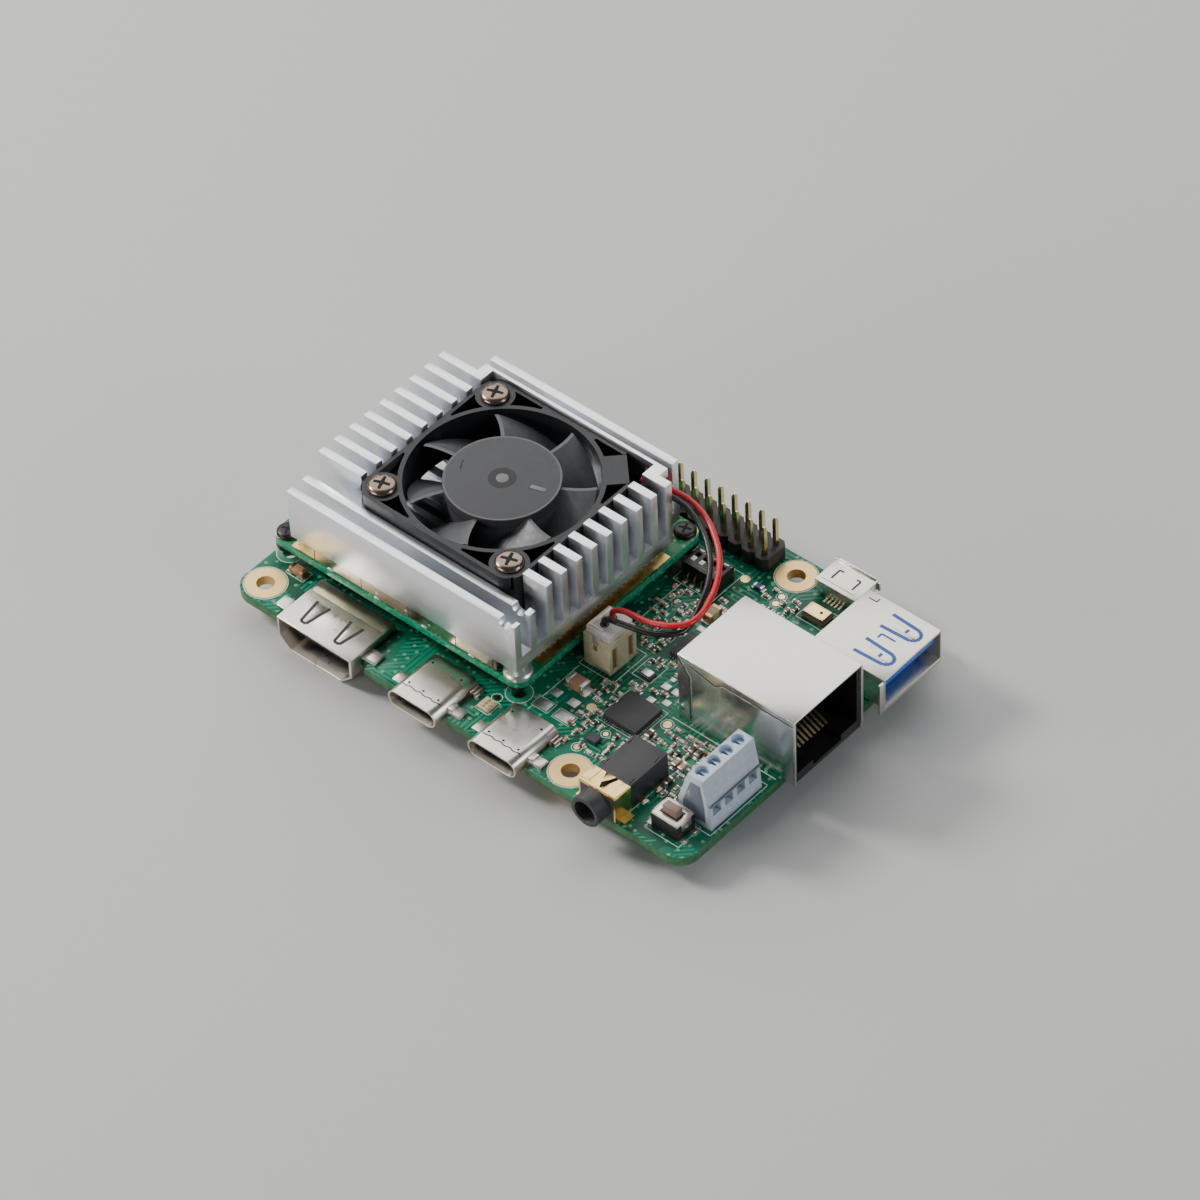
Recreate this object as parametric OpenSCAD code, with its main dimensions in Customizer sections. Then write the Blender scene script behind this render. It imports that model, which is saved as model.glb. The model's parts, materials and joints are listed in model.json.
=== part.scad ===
// Single board computer: a carrier board with its sockets and switches, and a
// plug-on processor module under a finned heat sink with a small fan.
//
// Lengths are in millimetres, +Z is up. The origin is the centre of the four
// mounting holes, on the underside of the main board. +X runs along the board
// towards the network jack, +Y across it towards the pin header.
//
// Most modules are drawn in board coordinates instead: x and y count from the
// board's corner and z from its top face. on_board() moves them into place.

/* [Main board] */
// Length of the main board
board_l = 85; // [84:0.5:87]
// Width of the main board
board_w = 56; // [56:0.5:58]
// Thickness of the main board
board_t = 1.6; // [1.6:0.1:2]
// Radius of the main board's corners
board_r = 3; // [2:0.5:3]
// Distance of the mounting holes from the board's edges
hole_inset = 3.5; // [3.5:0.1:3.8]
// Spacing of the mounting holes along the board
hole_pitch_x = 58; // [57.5:0.5:58]
// Spacing of the mounting holes across the board
hole_pitch_y = 49; // [48.5:0.5:49]
// Radius of a mounting hole inside its plating
hole_r = 1.375; // [1.3:0.025:1.4]
// Radius of the gold pad round a mounting hole
pad_r = 3.05; // [2.8:0.05:3.1]

/* [Pin header] */
// Number of pin pairs
header_pairs = 20; // [2:1:20]
// Distance between neighbouring pins
header_pitch = 2.54; // [2.5:0.01:2.54]
// Width of a square pin
pin_w = 0.64; // [0.5:0.01:0.7]
// Height of the header's plastic body
header_h = 2.5; // [2:0.1:3]
// Height of the pin tips above the board
pin_top = 7.8; // [7:0.1:8.2]
// Length of the solder tails under the board
tail_l = 1.6; // [1:0.1:2]

/* [Network jack] */
// Length of the jack
jack_l = 21.2; // [21:0.1:21.4]
// Width of the jack
jack_w = 14.65; // [14.6:0.05:14.8]
// Height of the jack
jack_h = 12.65; // [12.4:0.05:13]
// Thickness of the jack's metal shell
jack_wall = 0.3; // [0.25:0.05:0.4]

/* [Host socket] */
// Length of the wide socket's shell
host_l = 13.1; // [13:0.1:13.4]
// Width of the wide socket's shell
host_w = 12.7; // [12.6:0.1:12.8]
// Height of the wide socket's shell
host_h = 5.7; // [5.6:0.1:5.8]

/* [Console socket] */
// Width of the narrow socket's shell
console_w = 7.4; // [7.2:0.1:7.6]
// Depth of the narrow socket's shell
console_d = 5.4; // [5.3:0.1:5.5]
// Height of the narrow socket's shell
console_h = 2.6; // [2.6:0.1:2.8]

/* [Video socket] */
// Width of the video socket's shell
video_w = 14.3; // [14.2:0.1:14.4]
// Depth of the video socket's shell
video_d = 9.6; // [9.4:0.1:9.7]
// Height of the video socket's shell
video_h = 5.7; // [5.6:0.1:5.8]

/* [Type C sockets] */
// Width of a type C shell
type_c_w = 8.94; // [8.9:0.02:9]
// Height of a type C shell
type_c_h = 3.16; // [3.1:0.02:3.2]
// Depth of a type C shell
type_c_d = 9.3; // [9.1:0.1:9.4]

/* [Audio jack] */
// Width of the audio jack's body
audio_w = 6; // [6:0.1:6.2]
// Depth of the audio jack's body on the board
audio_d = 11.6; // [11.4:0.1:12]
// Height of the audio jack's body
audio_h = 4.2; // [4.2:0.1:4.4]
// Radius of the audio jack's bore
audio_bore_r = 1.8; // [1.75:0.05:1.8]
// How far the round nose stands over the board's edge
audio_nose_l = 2.6; // [2:0.1:3]

/* [Speaker terminal] */
// Distance between neighbouring ways
terminal_pitch = 2.54; // [2.54:0.01:2.6]
// Width of the four-way housing
terminal_w = 10.8; // [10.7:0.05:10.9]
// Height of the housing
terminal_h = 9; // [9:0.1:9.4]
// Radius of a terminal screw's head
terminal_head_r = 0.95; // [0.9:0.05:0.95]

/* [Switches] */
// Width of the reset switch's body
reset_w = 4.8; // [4.7:0.1:5]
// Depth of the reset switch's body
reset_d = 3.7; // [3.6:0.1:3.9]
// Height of the reset switch's body
reset_h = 2.65; // [2.6:0.05:2.7]
// Height of the reset button's top above the board
reset_button_h = 4.2; // [4:0.1:4.5]
// Distance between the boot switch's sliders
boot_pitch = 1.5; // [1.45:0.05:1.5]
// Height of the boot switch's body
boot_h = 2.6; // [2.5:0.1:2.8]

/* [Processor module] */
// Length of the module's board
module_l = 48; // [47.8:0.1:48]
// Width of the module's board
module_w = 40; // [39.8:0.1:40]
// Thickness of the module's board
module_t = 1.2; // [1.2:0.1:1.2]
// Gap between the main board and the module
module_gap = 3; // [3:0.1:3]
// Spacing of the module's screws along the board
module_pitch_x = 44; // [43.8:0.1:44]
// Spacing of the module's screws across the board
module_pitch_y = 36; // [35.8:0.1:36]

/* [Heat sink] */
// Length of the heat sink's fins
sink_l = 43; // [42.8:0.1:43.2]
// Thickness of the heat sink's base plate
sink_base_t = 2.25; // [2:0.05:2.4]
// Thickness of a fin
fin_t = 1.3; // [1.1:0.05:1.4]
// Distance between the fins beside the fan
fin_pitch = 3.19; // [3.19:0.01:3.19]
// Height of the tall fins above the board
fin_top = 19.16; // [18.9:0.02:19.4]
// Height of the two low fins above the board
low_fin_top = 16.35; // [16:0.05:16.6]

/* [Fan] */
// Side of the square fan frame
fan_w = 30; // [30:0.1:30.1]
// Thickness of the fan frame
fan_t = 7; // [6.8:0.1:7]
// Height of the fan's top face above the board
fan_top = 18.6; // [18.6:0.1:18.8]
// Radius of the bore that the blades turn in
fan_bore_r = 14.15; // [14.1:0.05:14.2]
// Radius of the fan's hub
hub_r = 8.5; // [8.5:0.1:8.6]
// Number of blades
blade_count = 7; // [5:1:9]
// Distance of the fan's screws from its centre, along each side
fan_screw_offset = 12; // [11.9:0.1:12]
// Diameter of a fan wire over its insulation
wire_d = 0.9; // [0.8:0.05:0.9]

/* [Hidden] */
$fn = 48;

// Overlap that keeps a cut clear of the face it starts from
eps = 0.05;
// Copper and gold thickness on a mounting hole
plating_t = 0.05;
// Centre of the mounting holes in board coordinates
hole_mid_x = hole_inset + hole_pitch_x / 2;
hole_mid_y = board_w - hole_inset - hole_pitch_y / 2;
hole_x = [hole_inset, hole_inset + hole_pitch_x];
hole_y = [hole_inset, hole_inset + hole_pitch_y];

// The header is centred between the two mounting holes beside it
header_mid = [hole_mid_x, hole_inset + hole_pitch_y];
header_corner = 0.7;

// Near corner of each socket in board coordinates
jack_x = 66.4;
jack_y = 20.95;
jack_floor = 1.7;
jack_roof_gap = 0.65;
jack_side = 0.85;
jack_back = 9;
jack_contacts = 8;
jack_contact_pitch = 0.83;
jack_contact_w = 0.4;

host_x = 75.1;
host_y = 39.6;
host_z = 0.7;
host_wall = 0.3;
host_lip = 0.9;

console_mid_x = 69.1;
console_y = 51.9;
console_wall = 0.25;

video_mid_x = 17.35;
video_y = -1.3;
video_top = 1.4;
video_wall = 0.35;
video_knee = 3.5;
video_foot_w = 9.8;

type_c_mid_x = [36.5, 51.5];
type_c_y = -1.8;
type_c_wall = 0.28;
type_c_z = 0.02;
type_c_ear_x = 4.3;
type_c_ear = [6, 6.7];
type_c_ear_y = [0.8, 2.7];

audio_mid_x = 69.5;
audio_nose_r = 2.5;
bracket_t = 0.3;
bracket_y = [0.05, 3.4];
bracket_foot_y = [0.5, 2.6];

terminal_y = 7.2;
terminal_screw_x = 81.2;
// Side outline of the terminal's housing, from its rear foot to its front foot
terminal_outline = [[78.1, 0], [78.1, 3.2], [80, terminal_h], [82.7, terminal_h], [83.7, 4], [84, 0]];
terminal_ledge = 6.4;
terminal_cell = [1.2, 5.4];
terminal_cell_w = 1.9;
terminal_cell_x = [80.1, 82.3];
clamp_size = [1.9, 1.6, 2.7];
clamp_z = 1.4;
clamp_wall = 0.6;
screw_shank_r = 0.4;
screw_head_h = 1.8;
screw_tip = 3.05;

reset_mid = [79.35, 4.55];
reset_button_size = [2.6, 1.3];
reset_cover_t = 0.3;
reset_well = [0.5, 1.9];
reset_clearance = 0.05;
reset_flange = 0.2;

boot_x = [48.5, 55];
boot_y = [42.6, 46.5];
boot_slot = [0.8, 1.9, 1];
boot_knob = [0.7, 0.9];
boot_knob_rise = 0.1;
boot_mid_y = 44.55;

header2_x = [49.05, 54];
header2_y = [20.65, 26.4];
header2_h = 6;
header2_wall = 0.55;
header2_notch_x = [50.7, 51.9];
header2_notch_z = 4.6;
header2_slot_y = [21.3, 24.7];
header2_slot_z = [0.6, 4.8];
plug_top = 7.2;
plug_lip = [0.3, 0.35];

chip_codec = [[58.4, 64.3], [14, 19.9], [0, 0.9]];
chip_mic = [[67, 70.9], [46.9, 49.5], [0, 1.1]];
chip_power = [[59.3, 61.1], [9.2, 10.6], [0, 0.7]];
chip_bridge = [[57.6, 62.6], [29.2, 34.2], [0, 0.85]];
chip_crystal = [[56.9, 58.9], [23.3, 24.9], [0, 0.8]];

// Plan centres of the smaller two-ended parts
tall_passives = [[72.4, 17], [73.5, 17], [72.2, 13.6], [73.4, 13.6], [65.7, 15.4]];
low_passives = [
    [60.7, 22.3], [62.2, 22.8], [58.9, 20.9], [67.5, 17.5], [68.9, 17.3], [55.3, 30.2],
    [61.3, 7.6], [59.6, 8.1], [55.2, 18.2], [55.6, 10.4], [57.4, 16.2], [68.2, 15.4],
    [67.4, 12.6], [69.2, 12.6], [50.6, 36.2], [53.4, 36.4], [54.8, 33.8]
];
turned_passives = [
    [56.7, 26.4], [58.2, 26.4], [53.3, 28.6], [54.6, 28.6], [55.6, 28.6], [62.9, 10.4],
    [56.6, 13.2], [57.2, 9.4], [58.2, 12.4], [62.3, 12.2], [63.6, 46.9], [65, 46.2],
    [51.6, 33.2], [52.8, 33.4], [50.2, 31.6], [71, 15.2], [70, 14.8]
];

module_x = 0.2;
module_y = 8.2;
module_r = 2.2;
module_bottom = module_gap;
module_top = module_gap + module_t;
module_hole_x = [2.1, 2.1 + module_pitch_x];
module_hole_y = [10.2, 10.2 + module_pitch_y];
module_screw_places = [[0, 0], [0, 1], [1, 1]];
module_nut_r = 1.9;
module_nut_h = 1;
screw_end = 0.4;
// Radius of the holes in the main board below the module's screws
under_hole_r = 1;
thread_r = 0.95;
module_head_r = 1.75;
module_head_h = 0.8;
shield_x = [6, 45.2];
shield_y = [8.4, 43.8];
shield_h = 2.6;
shield_t = 0.3;
// Plan corner, size and height of the module's chips
module_chip_list = [
    [[17, 16], [17, 17], 2.4],
    [[11, 36], [14, 7], 1],
    [[30, 35.5], [11, 7.5], 1],
    [[36.5, 19], [7, 11], 1.2],
    [[9, 18], [5.5, 8], 1.2]
];

sink_x = [5.3, 5.3 + sink_l];
sink_y = [7.6, 45.2];
sink_bottom = 7.5;
sink_base_top = sink_bottom + sink_base_t;
// Corners of the base that are cut back for the module's screws
sink_notch_x = [11.7, 46.05];
sink_notch_y = 41.2;
second_fin_y = 10.8;
first_tall_fin_y = 14.44;
tall_fins = 8;
low_fin_under_fan = 11.2;
pocket_x = [13.5, 44];
pocket_y = [12.05, 42.45];
thick_fin_y = [39.84, 43];
last_fin_y = [43.94, 45.2];
scallop_r = 1.1;
scallop_depth = 0.9;
wire_gate_x = [42.3, 46.2];
wire_gate_z = [13.9, 17.6];
sink_post_r = 1.9;

fan_mid = [28.8, 27.25];
fan_bottom = fan_top - fan_t;
fan_screw_hole_r = 1.5;
fan_boss_r = 2.9;
fan_ring_t = 0.7;
fan_rim_t = 0.6;
fan_pocket_depth = 2.2;
fan_plate_t = 1;
fan_strut_w = 2.4;
fan_exit = 10.3;
fan_corner_r = 2.8;
// Reach and half width of the ledge over the wires
fan_ledge = [17.8, 2.9];
fan_ledge_t = 0.9;
fan_screw_places = [[-1, -1], [-1, 1], [1, -1]];
fan_head_r = 2.15;
fan_head_h = 0.85;
fan_thread_r = 1;
boss_r = 2.2;

hub_top = 18.6;
hub_wall = 0.6;
hub_roof_t = 0.9;
hub_bottom = 13;
blade_r = 13.55;
blade_z = [13.4, 18.1];
blade_t = 0.5;
blade_twist = -40;
blade_phase = -11.6;
blade_sweep = 4;
shaft_r = 0.75;
shaft_z = [12.9, 18.1];
bearing_r = 1.6;
bearing_clearance = 0.04;
bearing_top = 17.3;
stator_r = 6.3;
stator_z = [13.4, 17];
magnet_t = 1;

// Local outline of a flat-cable connector: width, depth and height
ffc_size = [15.6, 4.2, 1.8];
ffc_floor = 0.7;
ffc_ear_w = 0.9;
ffc_roof_y = 2.1;
ffc_slot_top = 1.1;
ffc_pivot = [1.5, 1.4];
ffc_pin_r = 0.25;
ffc_pin_clearance = 0.05;
ffc_latch_y = [0.2, 1.9];
ffc_latch_z = [1.1, 1.75];
ffc_latch_gap = 0.1;
camera_at = [33, 22];
display_at = [58, 22];
card_x = [0.4, 15.4];
card_y = [18, 32.5];
card_h = 1.6;
card_wall = 0.25;

// Route of the red wire, from the fan's corner to the plug
red_route = [
    [42.6, 41.0, 16.5], [44.4, 42.1, 15.8], [46.5, 43.2, 15.0], [48.6, 43.6, 14.7],
    [51.0, 43.4, 14.4], [53.8, 42.5, 14.0], [56.3, 41.0, 13.6], [58.5, 39.3, 13.1],
    [60.3, 37.2, 12.7], [61.7, 34.9, 12.2], [62.7, 32.3, 11.8], [63.2, 29.8, 11.3],
    [62.7, 27.8, 10.8], [61.2, 26.3, 10.5], [59.2, 25.5, 10.1], [57.1, 25.1, 9.7],
    [54.8, 25.1, 9.4], [52.9, 24.9, 9.2], [51.7, 24.6, 8.7], [51.3, 24.5, 8.0],
    [51.3, 24.5, plug_top]
];
// Route of the black wire, which crosses under the red one near its turn
black_route = [
    [43.5, 40.0, 16.5], [45.4, 41.2, 15.7], [47.3, 42.2, 15.0], [49.5, 42.3, 14.7],
    [51.8, 41.8, 14.3], [53.6, 41.1, 13.9], [55.8, 39.8, 13.4], [57.8, 38.1, 12.9],
    [59.4, 36.3, 12.4], [60.6, 34.3, 11.8], [61.5, 31.9, 11.1], [62.2, 29.6, 10.3],
    [62.3, 27.6, 9.5], [61.5, 26.0, 9.3], [60.0, 24.8, 9.2], [58.0, 23.9, 9.1],
    [55.8, 23.3, 9.1], [53.6, 22.9, 9.0], [52.0, 22.8, 8.6], [51.3, 22.8, 8.0],
    [51.3, 22.8, plug_top]
];

// ---- helpers ----

// Moves a shape from board coordinates into the part's own frame
module on_board() translate([-hole_mid_x, -hole_mid_y, board_t]) children();

// A box between two limits on each axis
module block(x, y, z)
    translate([x[0], y[0], z[0]]) cube([x[1] - x[0], y[1] - y[0], z[1] - z[0]]);

// A flat outline (x, z) drawn out along Y between two limits
module along_y(y)
    translate([0, y[1], 0]) rotate([90, 0, 0]) linear_extrude(y[1] - y[0]) children();

// A flat outline (y, z) drawn out along X between two limits
module along_x(x)
    translate([x[0], 0, 0]) rotate([90, 0, 90]) linear_extrude(x[1] - x[0]) children();

// A rectangle with round corners, its near corner at the origin
module rounded_rect(l, w, r) {
    translate([r, 0]) square([l - 2 * r, w]);
    translate([0, r]) square([l, w - 2 * r]);
    for (x = [r, l - r], y = [r, w - r]) translate([x, y]) circle(r);
}

// A slot shape with full round ends, centred
module stadium(w, h) {
    square([w - h, h], center = true);
    for (s = [-1, 1]) translate([s * (w - h) / 2, 0]) circle(h / 2);
}

// A ring with a round bore, standing on z = 0
module ring(r_out, r_in, h)
    difference() {
        cylinder(r = r_out, h = h);
        translate([0, 0, -eps]) cylinder(r = r_in, h = h + 2 * eps);
    }

// A cross recess for a screw head, cut down from z = 0
module cross_recess(size, depth)
    for (a = [0, 90]) rotate(a) translate([-size / 2, -size / 8, -depth]) cube([size, size / 4, depth + eps]);

module at_mounting_holes()
    for (x = hole_x, y = hole_y) translate([x, y, 0]) children();

module at_header_pins()
    for (i = [0 : header_pairs - 1], j = [-0.5, 0.5])
        translate([
            header_mid.x + (i - (header_pairs - 1) / 2) * header_pitch,
            header_mid.y + j * header_pitch, 0
        ]) children();

// Direction of a route at point i, averaged over its two neighbours
function heading(route, i) =
    let (n = len(route) - 1, a = route[max(i - 1, 0)], b = route[min(i + 1, n)])
    (i == n ? route[n] - route[n - 1] : b - a) / norm(i == n ? route[n] - route[n - 1] : b - a);

// Eight points round a route at point i
function wire_ring(route, i, r) =
    let (
        t = heading(route, i),
        side = cross(t, [0, 1, 1]) / norm(cross(t, [0, 1, 1])),
        up = cross(side, t)
    )
    [for (k = [0 : 7]) route[i] + r * (cos(45 * k) * side + sin(45 * k) * up)];

// A round wire of eight sides along a route
module wire(route, d) {
    rings = len(route);
    points = [for (i = [0 : rings - 1]) each wire_ring(route, i, d / 2)];
    sides = [
        for (i = [0 : rings - 2], k = [0 : 7])
            each [
                [i * 8 + k, (i + 1) * 8 + k, i * 8 + (k + 1) % 8],
                [(i + 1) * 8 + k, (i + 1) * 8 + (k + 1) % 8, i * 8 + (k + 1) % 8]
            ]
    ];
    start_cap = [[for (k = [0 : 7]) k]];
    end_cap = [[for (k = [7 : -1 : 0]) (rings - 1) * 8 + k]];
    polyhedron(points, concat(sides, start_cap, end_cap), convexity = 8);
}

// ---- carrier board ----

module main_board()
    color("seagreen") on_board() difference() {
        translate([0, 0, -board_t]) linear_extrude(board_t) rounded_rect(board_l, board_w, board_r);
        at_mounting_holes()
            translate([0, 0, -board_t - eps]) cylinder(r = hole_r + plating_t, h = board_t + 2 * eps);
        at_module_screws() translate([0, 0, -board_t - eps]) cylinder(r = under_hole_r, h = board_t + 2 * eps);
        at_header_pins() translate([0, 0, -board_t - eps]) cylinder(r = pin_w * 0.75, h = board_t + 2 * eps, $fn = 8);
        socket_cutout(video_mid_x, video_w + 0.6, 8.6);
        socket_cutout(video_mid_x, video_w + 2.6, 1);
        for (x = type_c_mid_x) socket_cutout(x, type_c_w + 0.56, 7.7);
    }

// A rectangular notch in the board's front edge
module socket_cutout(mid_x, w, depth)
    block([mid_x - w / 2, mid_x + w / 2], [-1, depth], [-board_t - eps, eps]);

module mounting_hole_plating()
    color("gold") on_board() at_mounting_holes() {
        ring(pad_r, hole_r, plating_t);
        translate([0, 0, -board_t]) ring(hole_r + plating_t, hole_r, board_t);
        translate([0, 0, -board_t - plating_t]) ring(pad_r, hole_r, plating_t);
    }

// One header segment seen from above: a rectangle with its corners cut off
module header_segment_outline() {
    w = header_pitch / 2;
    d = header_pitch;
    c = header_corner;
    polygon([
        [-w, -d + c], [-w + c, -d], [w - c, -d], [w, -d + c],
        [w, d - c], [w - c, d], [-w + c, d], [-w, d - c]
    ]);
}

module pin_header_body()
    color("dimgray") on_board() difference() {
        linear_extrude(header_h)
            for (i = [0 : header_pairs - 1])
                translate([header_mid.x + (i - (header_pairs - 1) / 2) * header_pitch, header_mid.y])
                    header_segment_outline();
        at_header_pins() translate([-pin_w / 2, -pin_w / 2, -eps]) cube([pin_w, pin_w, header_h + 2 * eps]);
    }

module pin_header_pins()
    color("gold") on_board() at_header_pins()
        block([-pin_w / 2, pin_w / 2], [-pin_w / 2, pin_w / 2], [-board_t - tail_l, pin_top]);

// ---- network jack ----

module network_jack_shell()
    color("silver") on_board() difference() {
        block([jack_x, jack_x + jack_l], [jack_y, jack_y + jack_w], [0, jack_h]);
        block(
            [jack_x + jack_wall, jack_x + jack_l + eps],
            [jack_y + jack_wall, jack_y + jack_w - jack_wall],
            [-eps, jack_h - jack_wall]
        );
    }

module network_jack_housing()
    color("black") on_board() difference() {
        block(
            [jack_x + jack_wall, jack_x + jack_l - 0.4],
            [jack_y + jack_wall, jack_y + jack_w - jack_wall],
            [0, jack_h - jack_wall]
        );
        jack_cavity();
    }

// The hollow that a network plug goes into, with its latch groove below
module jack_cavity() {
    block(
        [jack_x + jack_back, jack_x + jack_l],
        [jack_y + jack_side, jack_y + jack_w - jack_side],
        [jack_floor, jack_h - jack_roof_gap]
    );
    mid = jack_y + jack_w / 2;
    block([jack_x + jack_back + 3, jack_x + jack_l], [mid - 3, mid + 3], [0.7, jack_floor + eps]);
}

// Spring contacts that slope up from the mouth towards the back of the cavity
module network_jack_contacts()
    color("gold") on_board()
        for (i = [0 : jack_contacts - 1]) {
            y = jack_y + jack_w / 2 + (i - (jack_contacts - 1) / 2) * jack_contact_pitch;
            along_y([y - jack_contact_w / 2, y + jack_contact_w / 2])
                polygon([[75.4, 6.4], [75.4, 6], [77, 6], [84.6, 2.2], [84.8, 2.5], [77.1, 6.4]]);
        }

// ---- wide host socket ----

module host_socket_shell()
    color("silver") on_board() {
        x = [host_x, host_x + host_l];
        y = [host_y, host_y + host_w];
        z = [host_z, host_z + host_h];
        difference() {
            union() {
                block(x, y, z);
                // Flared lip on the mouth's bottom and front edges
                block([x[1] - 0.4, x[1]], [y[0] - host_lip, y[1]], [z[0] - 0.5, z[0]]);
                block([x[1] - 0.4, x[1]], [y[0] - host_lip, y[0]], [z[0] - 0.5, z[1] - 0.4]);
            }
            block(
                [x[0] + host_wall, x[1] + eps],
                [y[0] + host_wall, y[1] - host_wall],
                [z[0] + host_wall, z[1] - host_wall]
            );
        }
        // Feet on the board
        for (fx = [x[0] + 1, x[0] + 6], fy = [y[0], y[1] - 0.5])
            block([fx, fx + 1.6], [fy, fy + 0.5], [0, host_z]);
    }

module host_socket_tongue()
    color("royalblue") on_board() {
        y = [host_y + host_wall, host_y + host_w - host_wall];
        z = [host_z + host_wall, host_z + host_h - host_wall];
        block([host_x + host_wall, host_x + 4], y, z);
        block([host_x + 4 - eps, host_x + host_l - 0.7], [y[0] + 0.6, y[1] - 0.6], [z[1] - 1.9, z[1] - 0.4]);
    }

// ---- narrow console socket ----

// Mouth outline with its lower corners cut off, inset by i
module console_outline(i) {
    w = console_w / 2 - i;
    polygon([
        [-w, console_h - i], [w, console_h - i], [w, 1.1],
        [w - 0.75, 0.15 + i], [-w + 0.75, 0.15 + i], [-w, 1.1]
    ]);
}

module console_socket_shell()
    color("silver") on_board() {
        y = [console_y, console_y + console_d];
        translate([console_mid_x, 0, 0]) {
            difference() {
                along_y(y) console_outline(0);
                along_y([y[0] + console_wall, y[1] + eps]) console_outline(console_wall);
            }
            // Solder feet beside the shell
            for (s = [-1, 1]) block([s * 3.2 - 0.7, s * 3.2 + 0.7], [y[0] + 1, y[0] + 3], [0, 0.35]);
        }
    }

module console_socket_insert()
    color("wheat") on_board() translate([console_mid_x, 0, 0]) {
        y = [console_y + console_wall, console_y + console_d];
        along_y([y[0], y[0] + 1.6]) console_outline(console_wall);
        block([-1.85, 1.85], [y[0] + 1.6 - eps, y[1] - 0.8], [1.45, 1.95]);
        // Five solder leads behind the shell
        for (i = [-2 : 2]) block([i * 0.65 - 0.14, i * 0.65 + 0.14], [console_y - 0.9, console_y], [0, 0.15]);
    }

// ---- video socket, let into the board's front edge ----

// Mouth outline with its lower corners cut off, inset by i
module video_outline(i) {
    w = video_w / 2 - i;
    f = video_foot_w / 2 - i * 0.4;
    polygon([
        [-w, video_top - i], [w, video_top - i], [w, video_top - video_knee],
        [f, video_top - video_h + i], [-f, video_top - video_h + i], [-w, video_top - video_knee]
    ]);
}

module video_socket_shell()
    color("silver") on_board() translate([video_mid_x, 0, 0]) {
        y = [video_y, video_y + video_d];
        difference() {
            along_y(y) video_outline(0);
            along_y([y[0] - eps, y[1] - video_wall]) video_outline(video_wall);
        }
        // Ears that rest on the board beside the notch
        for (s = [-1, 1])
            block([min(s * 7, s * 9.5), max(s * 7, s * 9.5)], [1.1, 3.4], [0, video_wall]);
    }

module video_socket_tongue()
    color("black") on_board() translate([video_mid_x, 0, 0]) {
        back = video_y + video_d - video_wall;
        along_y([back - 1.6, back]) video_outline(video_wall);
        block([-5.2, 5.2], [video_y + 1.5, back - 1.6 + eps], [-1.5, -0.5]);
    }

// ---- type C sockets, let into the board's front edge ----

module type_c_socket_shells()
    color("silver") on_board()
        for (x = type_c_mid_x) translate([x, 0, type_c_z]) {
            y = [type_c_y, type_c_y + type_c_d];
            difference() {
                along_y(y) stadium(type_c_w, type_c_h);
                along_y([y[0] - eps, y[1] - type_c_wall])
                    stadium(type_c_w - 2 * type_c_wall, type_c_h - 2 * type_c_wall);
            }
            // Ears that rest on the board beside the notch
            block([-type_c_ear[0], -type_c_ear_x], type_c_ear_y, [-type_c_z, 0.3]);
            block([type_c_ear_x, type_c_ear[1]], type_c_ear_y, [-type_c_z, 0.3]);
        }

module type_c_socket_tongues()
    color("black") on_board()
        for (x = type_c_mid_x) translate([x, 0, type_c_z]) {
            back = type_c_y + type_c_d - type_c_wall;
            along_y([back - 2, back]) stadium(type_c_w - 2 * type_c_wall, type_c_h - 2 * type_c_wall);
            block([-3.35, 3.35], [type_c_y + 1, back - 2 + eps], [-0.35, 0.35]);
        }

// ---- audio jack ----

module audio_jack_body()
    color("dimgray") on_board() difference() {
        union() {
            block([audio_mid_x - audio_w / 2, audio_mid_x + audio_w / 2], [0, audio_d], [0, audio_h]);
            along_y([-audio_nose_l, 0]) translate([audio_mid_x, audio_h / 2]) circle(audio_nose_r);
        }
        along_y([-audio_nose_l - eps, audio_d - 1.2]) translate([audio_mid_x, audio_h / 2]) circle(audio_bore_r);
    }

// A brass strap over the front of the jack, with feet on the board
module audio_jack_bracket()
    color("goldenrod") on_board() {
        x = [audio_mid_x - audio_w / 2, audio_mid_x + audio_w / 2];
        block([x[0] - bracket_t, x[1] + bracket_t], bracket_y, [audio_h, audio_h + bracket_t]);
        for (s = [x[0] - bracket_t, x[1]]) block([s, s + bracket_t], bracket_y, [0, audio_h + eps]);
        block([x[1], x[1] + 1.6], bracket_foot_y, [0, bracket_t]);
        block([x[0] - 1.4, x[0]], bracket_foot_y, [0, bracket_t]);
    }

// ---- speaker terminal ----

function terminal_way_y(k) = terminal_y + terminal_w / 2 + (k - 2.5) * terminal_pitch;

module speaker_terminal_housing()
    color("lightsteelblue") on_board() difference() {
        along_y([terminal_y, terminal_y + terminal_w]) polygon(terminal_outline);
        for (k = [1 : 4]) translate([0, terminal_way_y(k), 0]) {
            w = terminal_cell_w / 2;
            translate([terminal_screw_x, 0, terminal_ledge])
                cylinder(r = terminal_head_r + 0.08, h = terminal_h);
            translate([terminal_screw_x, 0, terminal_cell[0]])
                cylinder(r = screw_shank_r + 0.1, h = terminal_ledge);
            block(terminal_cell_x, [-w, w], terminal_cell);
            block([terminal_cell_x[1] - eps, 85], [-w + 0.1, w - 0.1], [2.3, 4.2]);
        }
    }

// A slotted screw that turns in its well and draws its clamp up
module terminal_screw(k)
    color("silver") on_board() translate([terminal_screw_x, terminal_way_y(k), 0]) {
        difference() {
            translate([0, 0, terminal_ledge]) cylinder(r = terminal_head_r, h = screw_head_h);
            translate([-terminal_head_r, -0.18, terminal_ledge + screw_head_h - 0.6])
                cube([2 * terminal_head_r, 0.36, 1]);
        }
        translate([0, 0, screw_tip]) cylinder(r = screw_shank_r, h = terminal_ledge - screw_tip + eps);
    }

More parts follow.
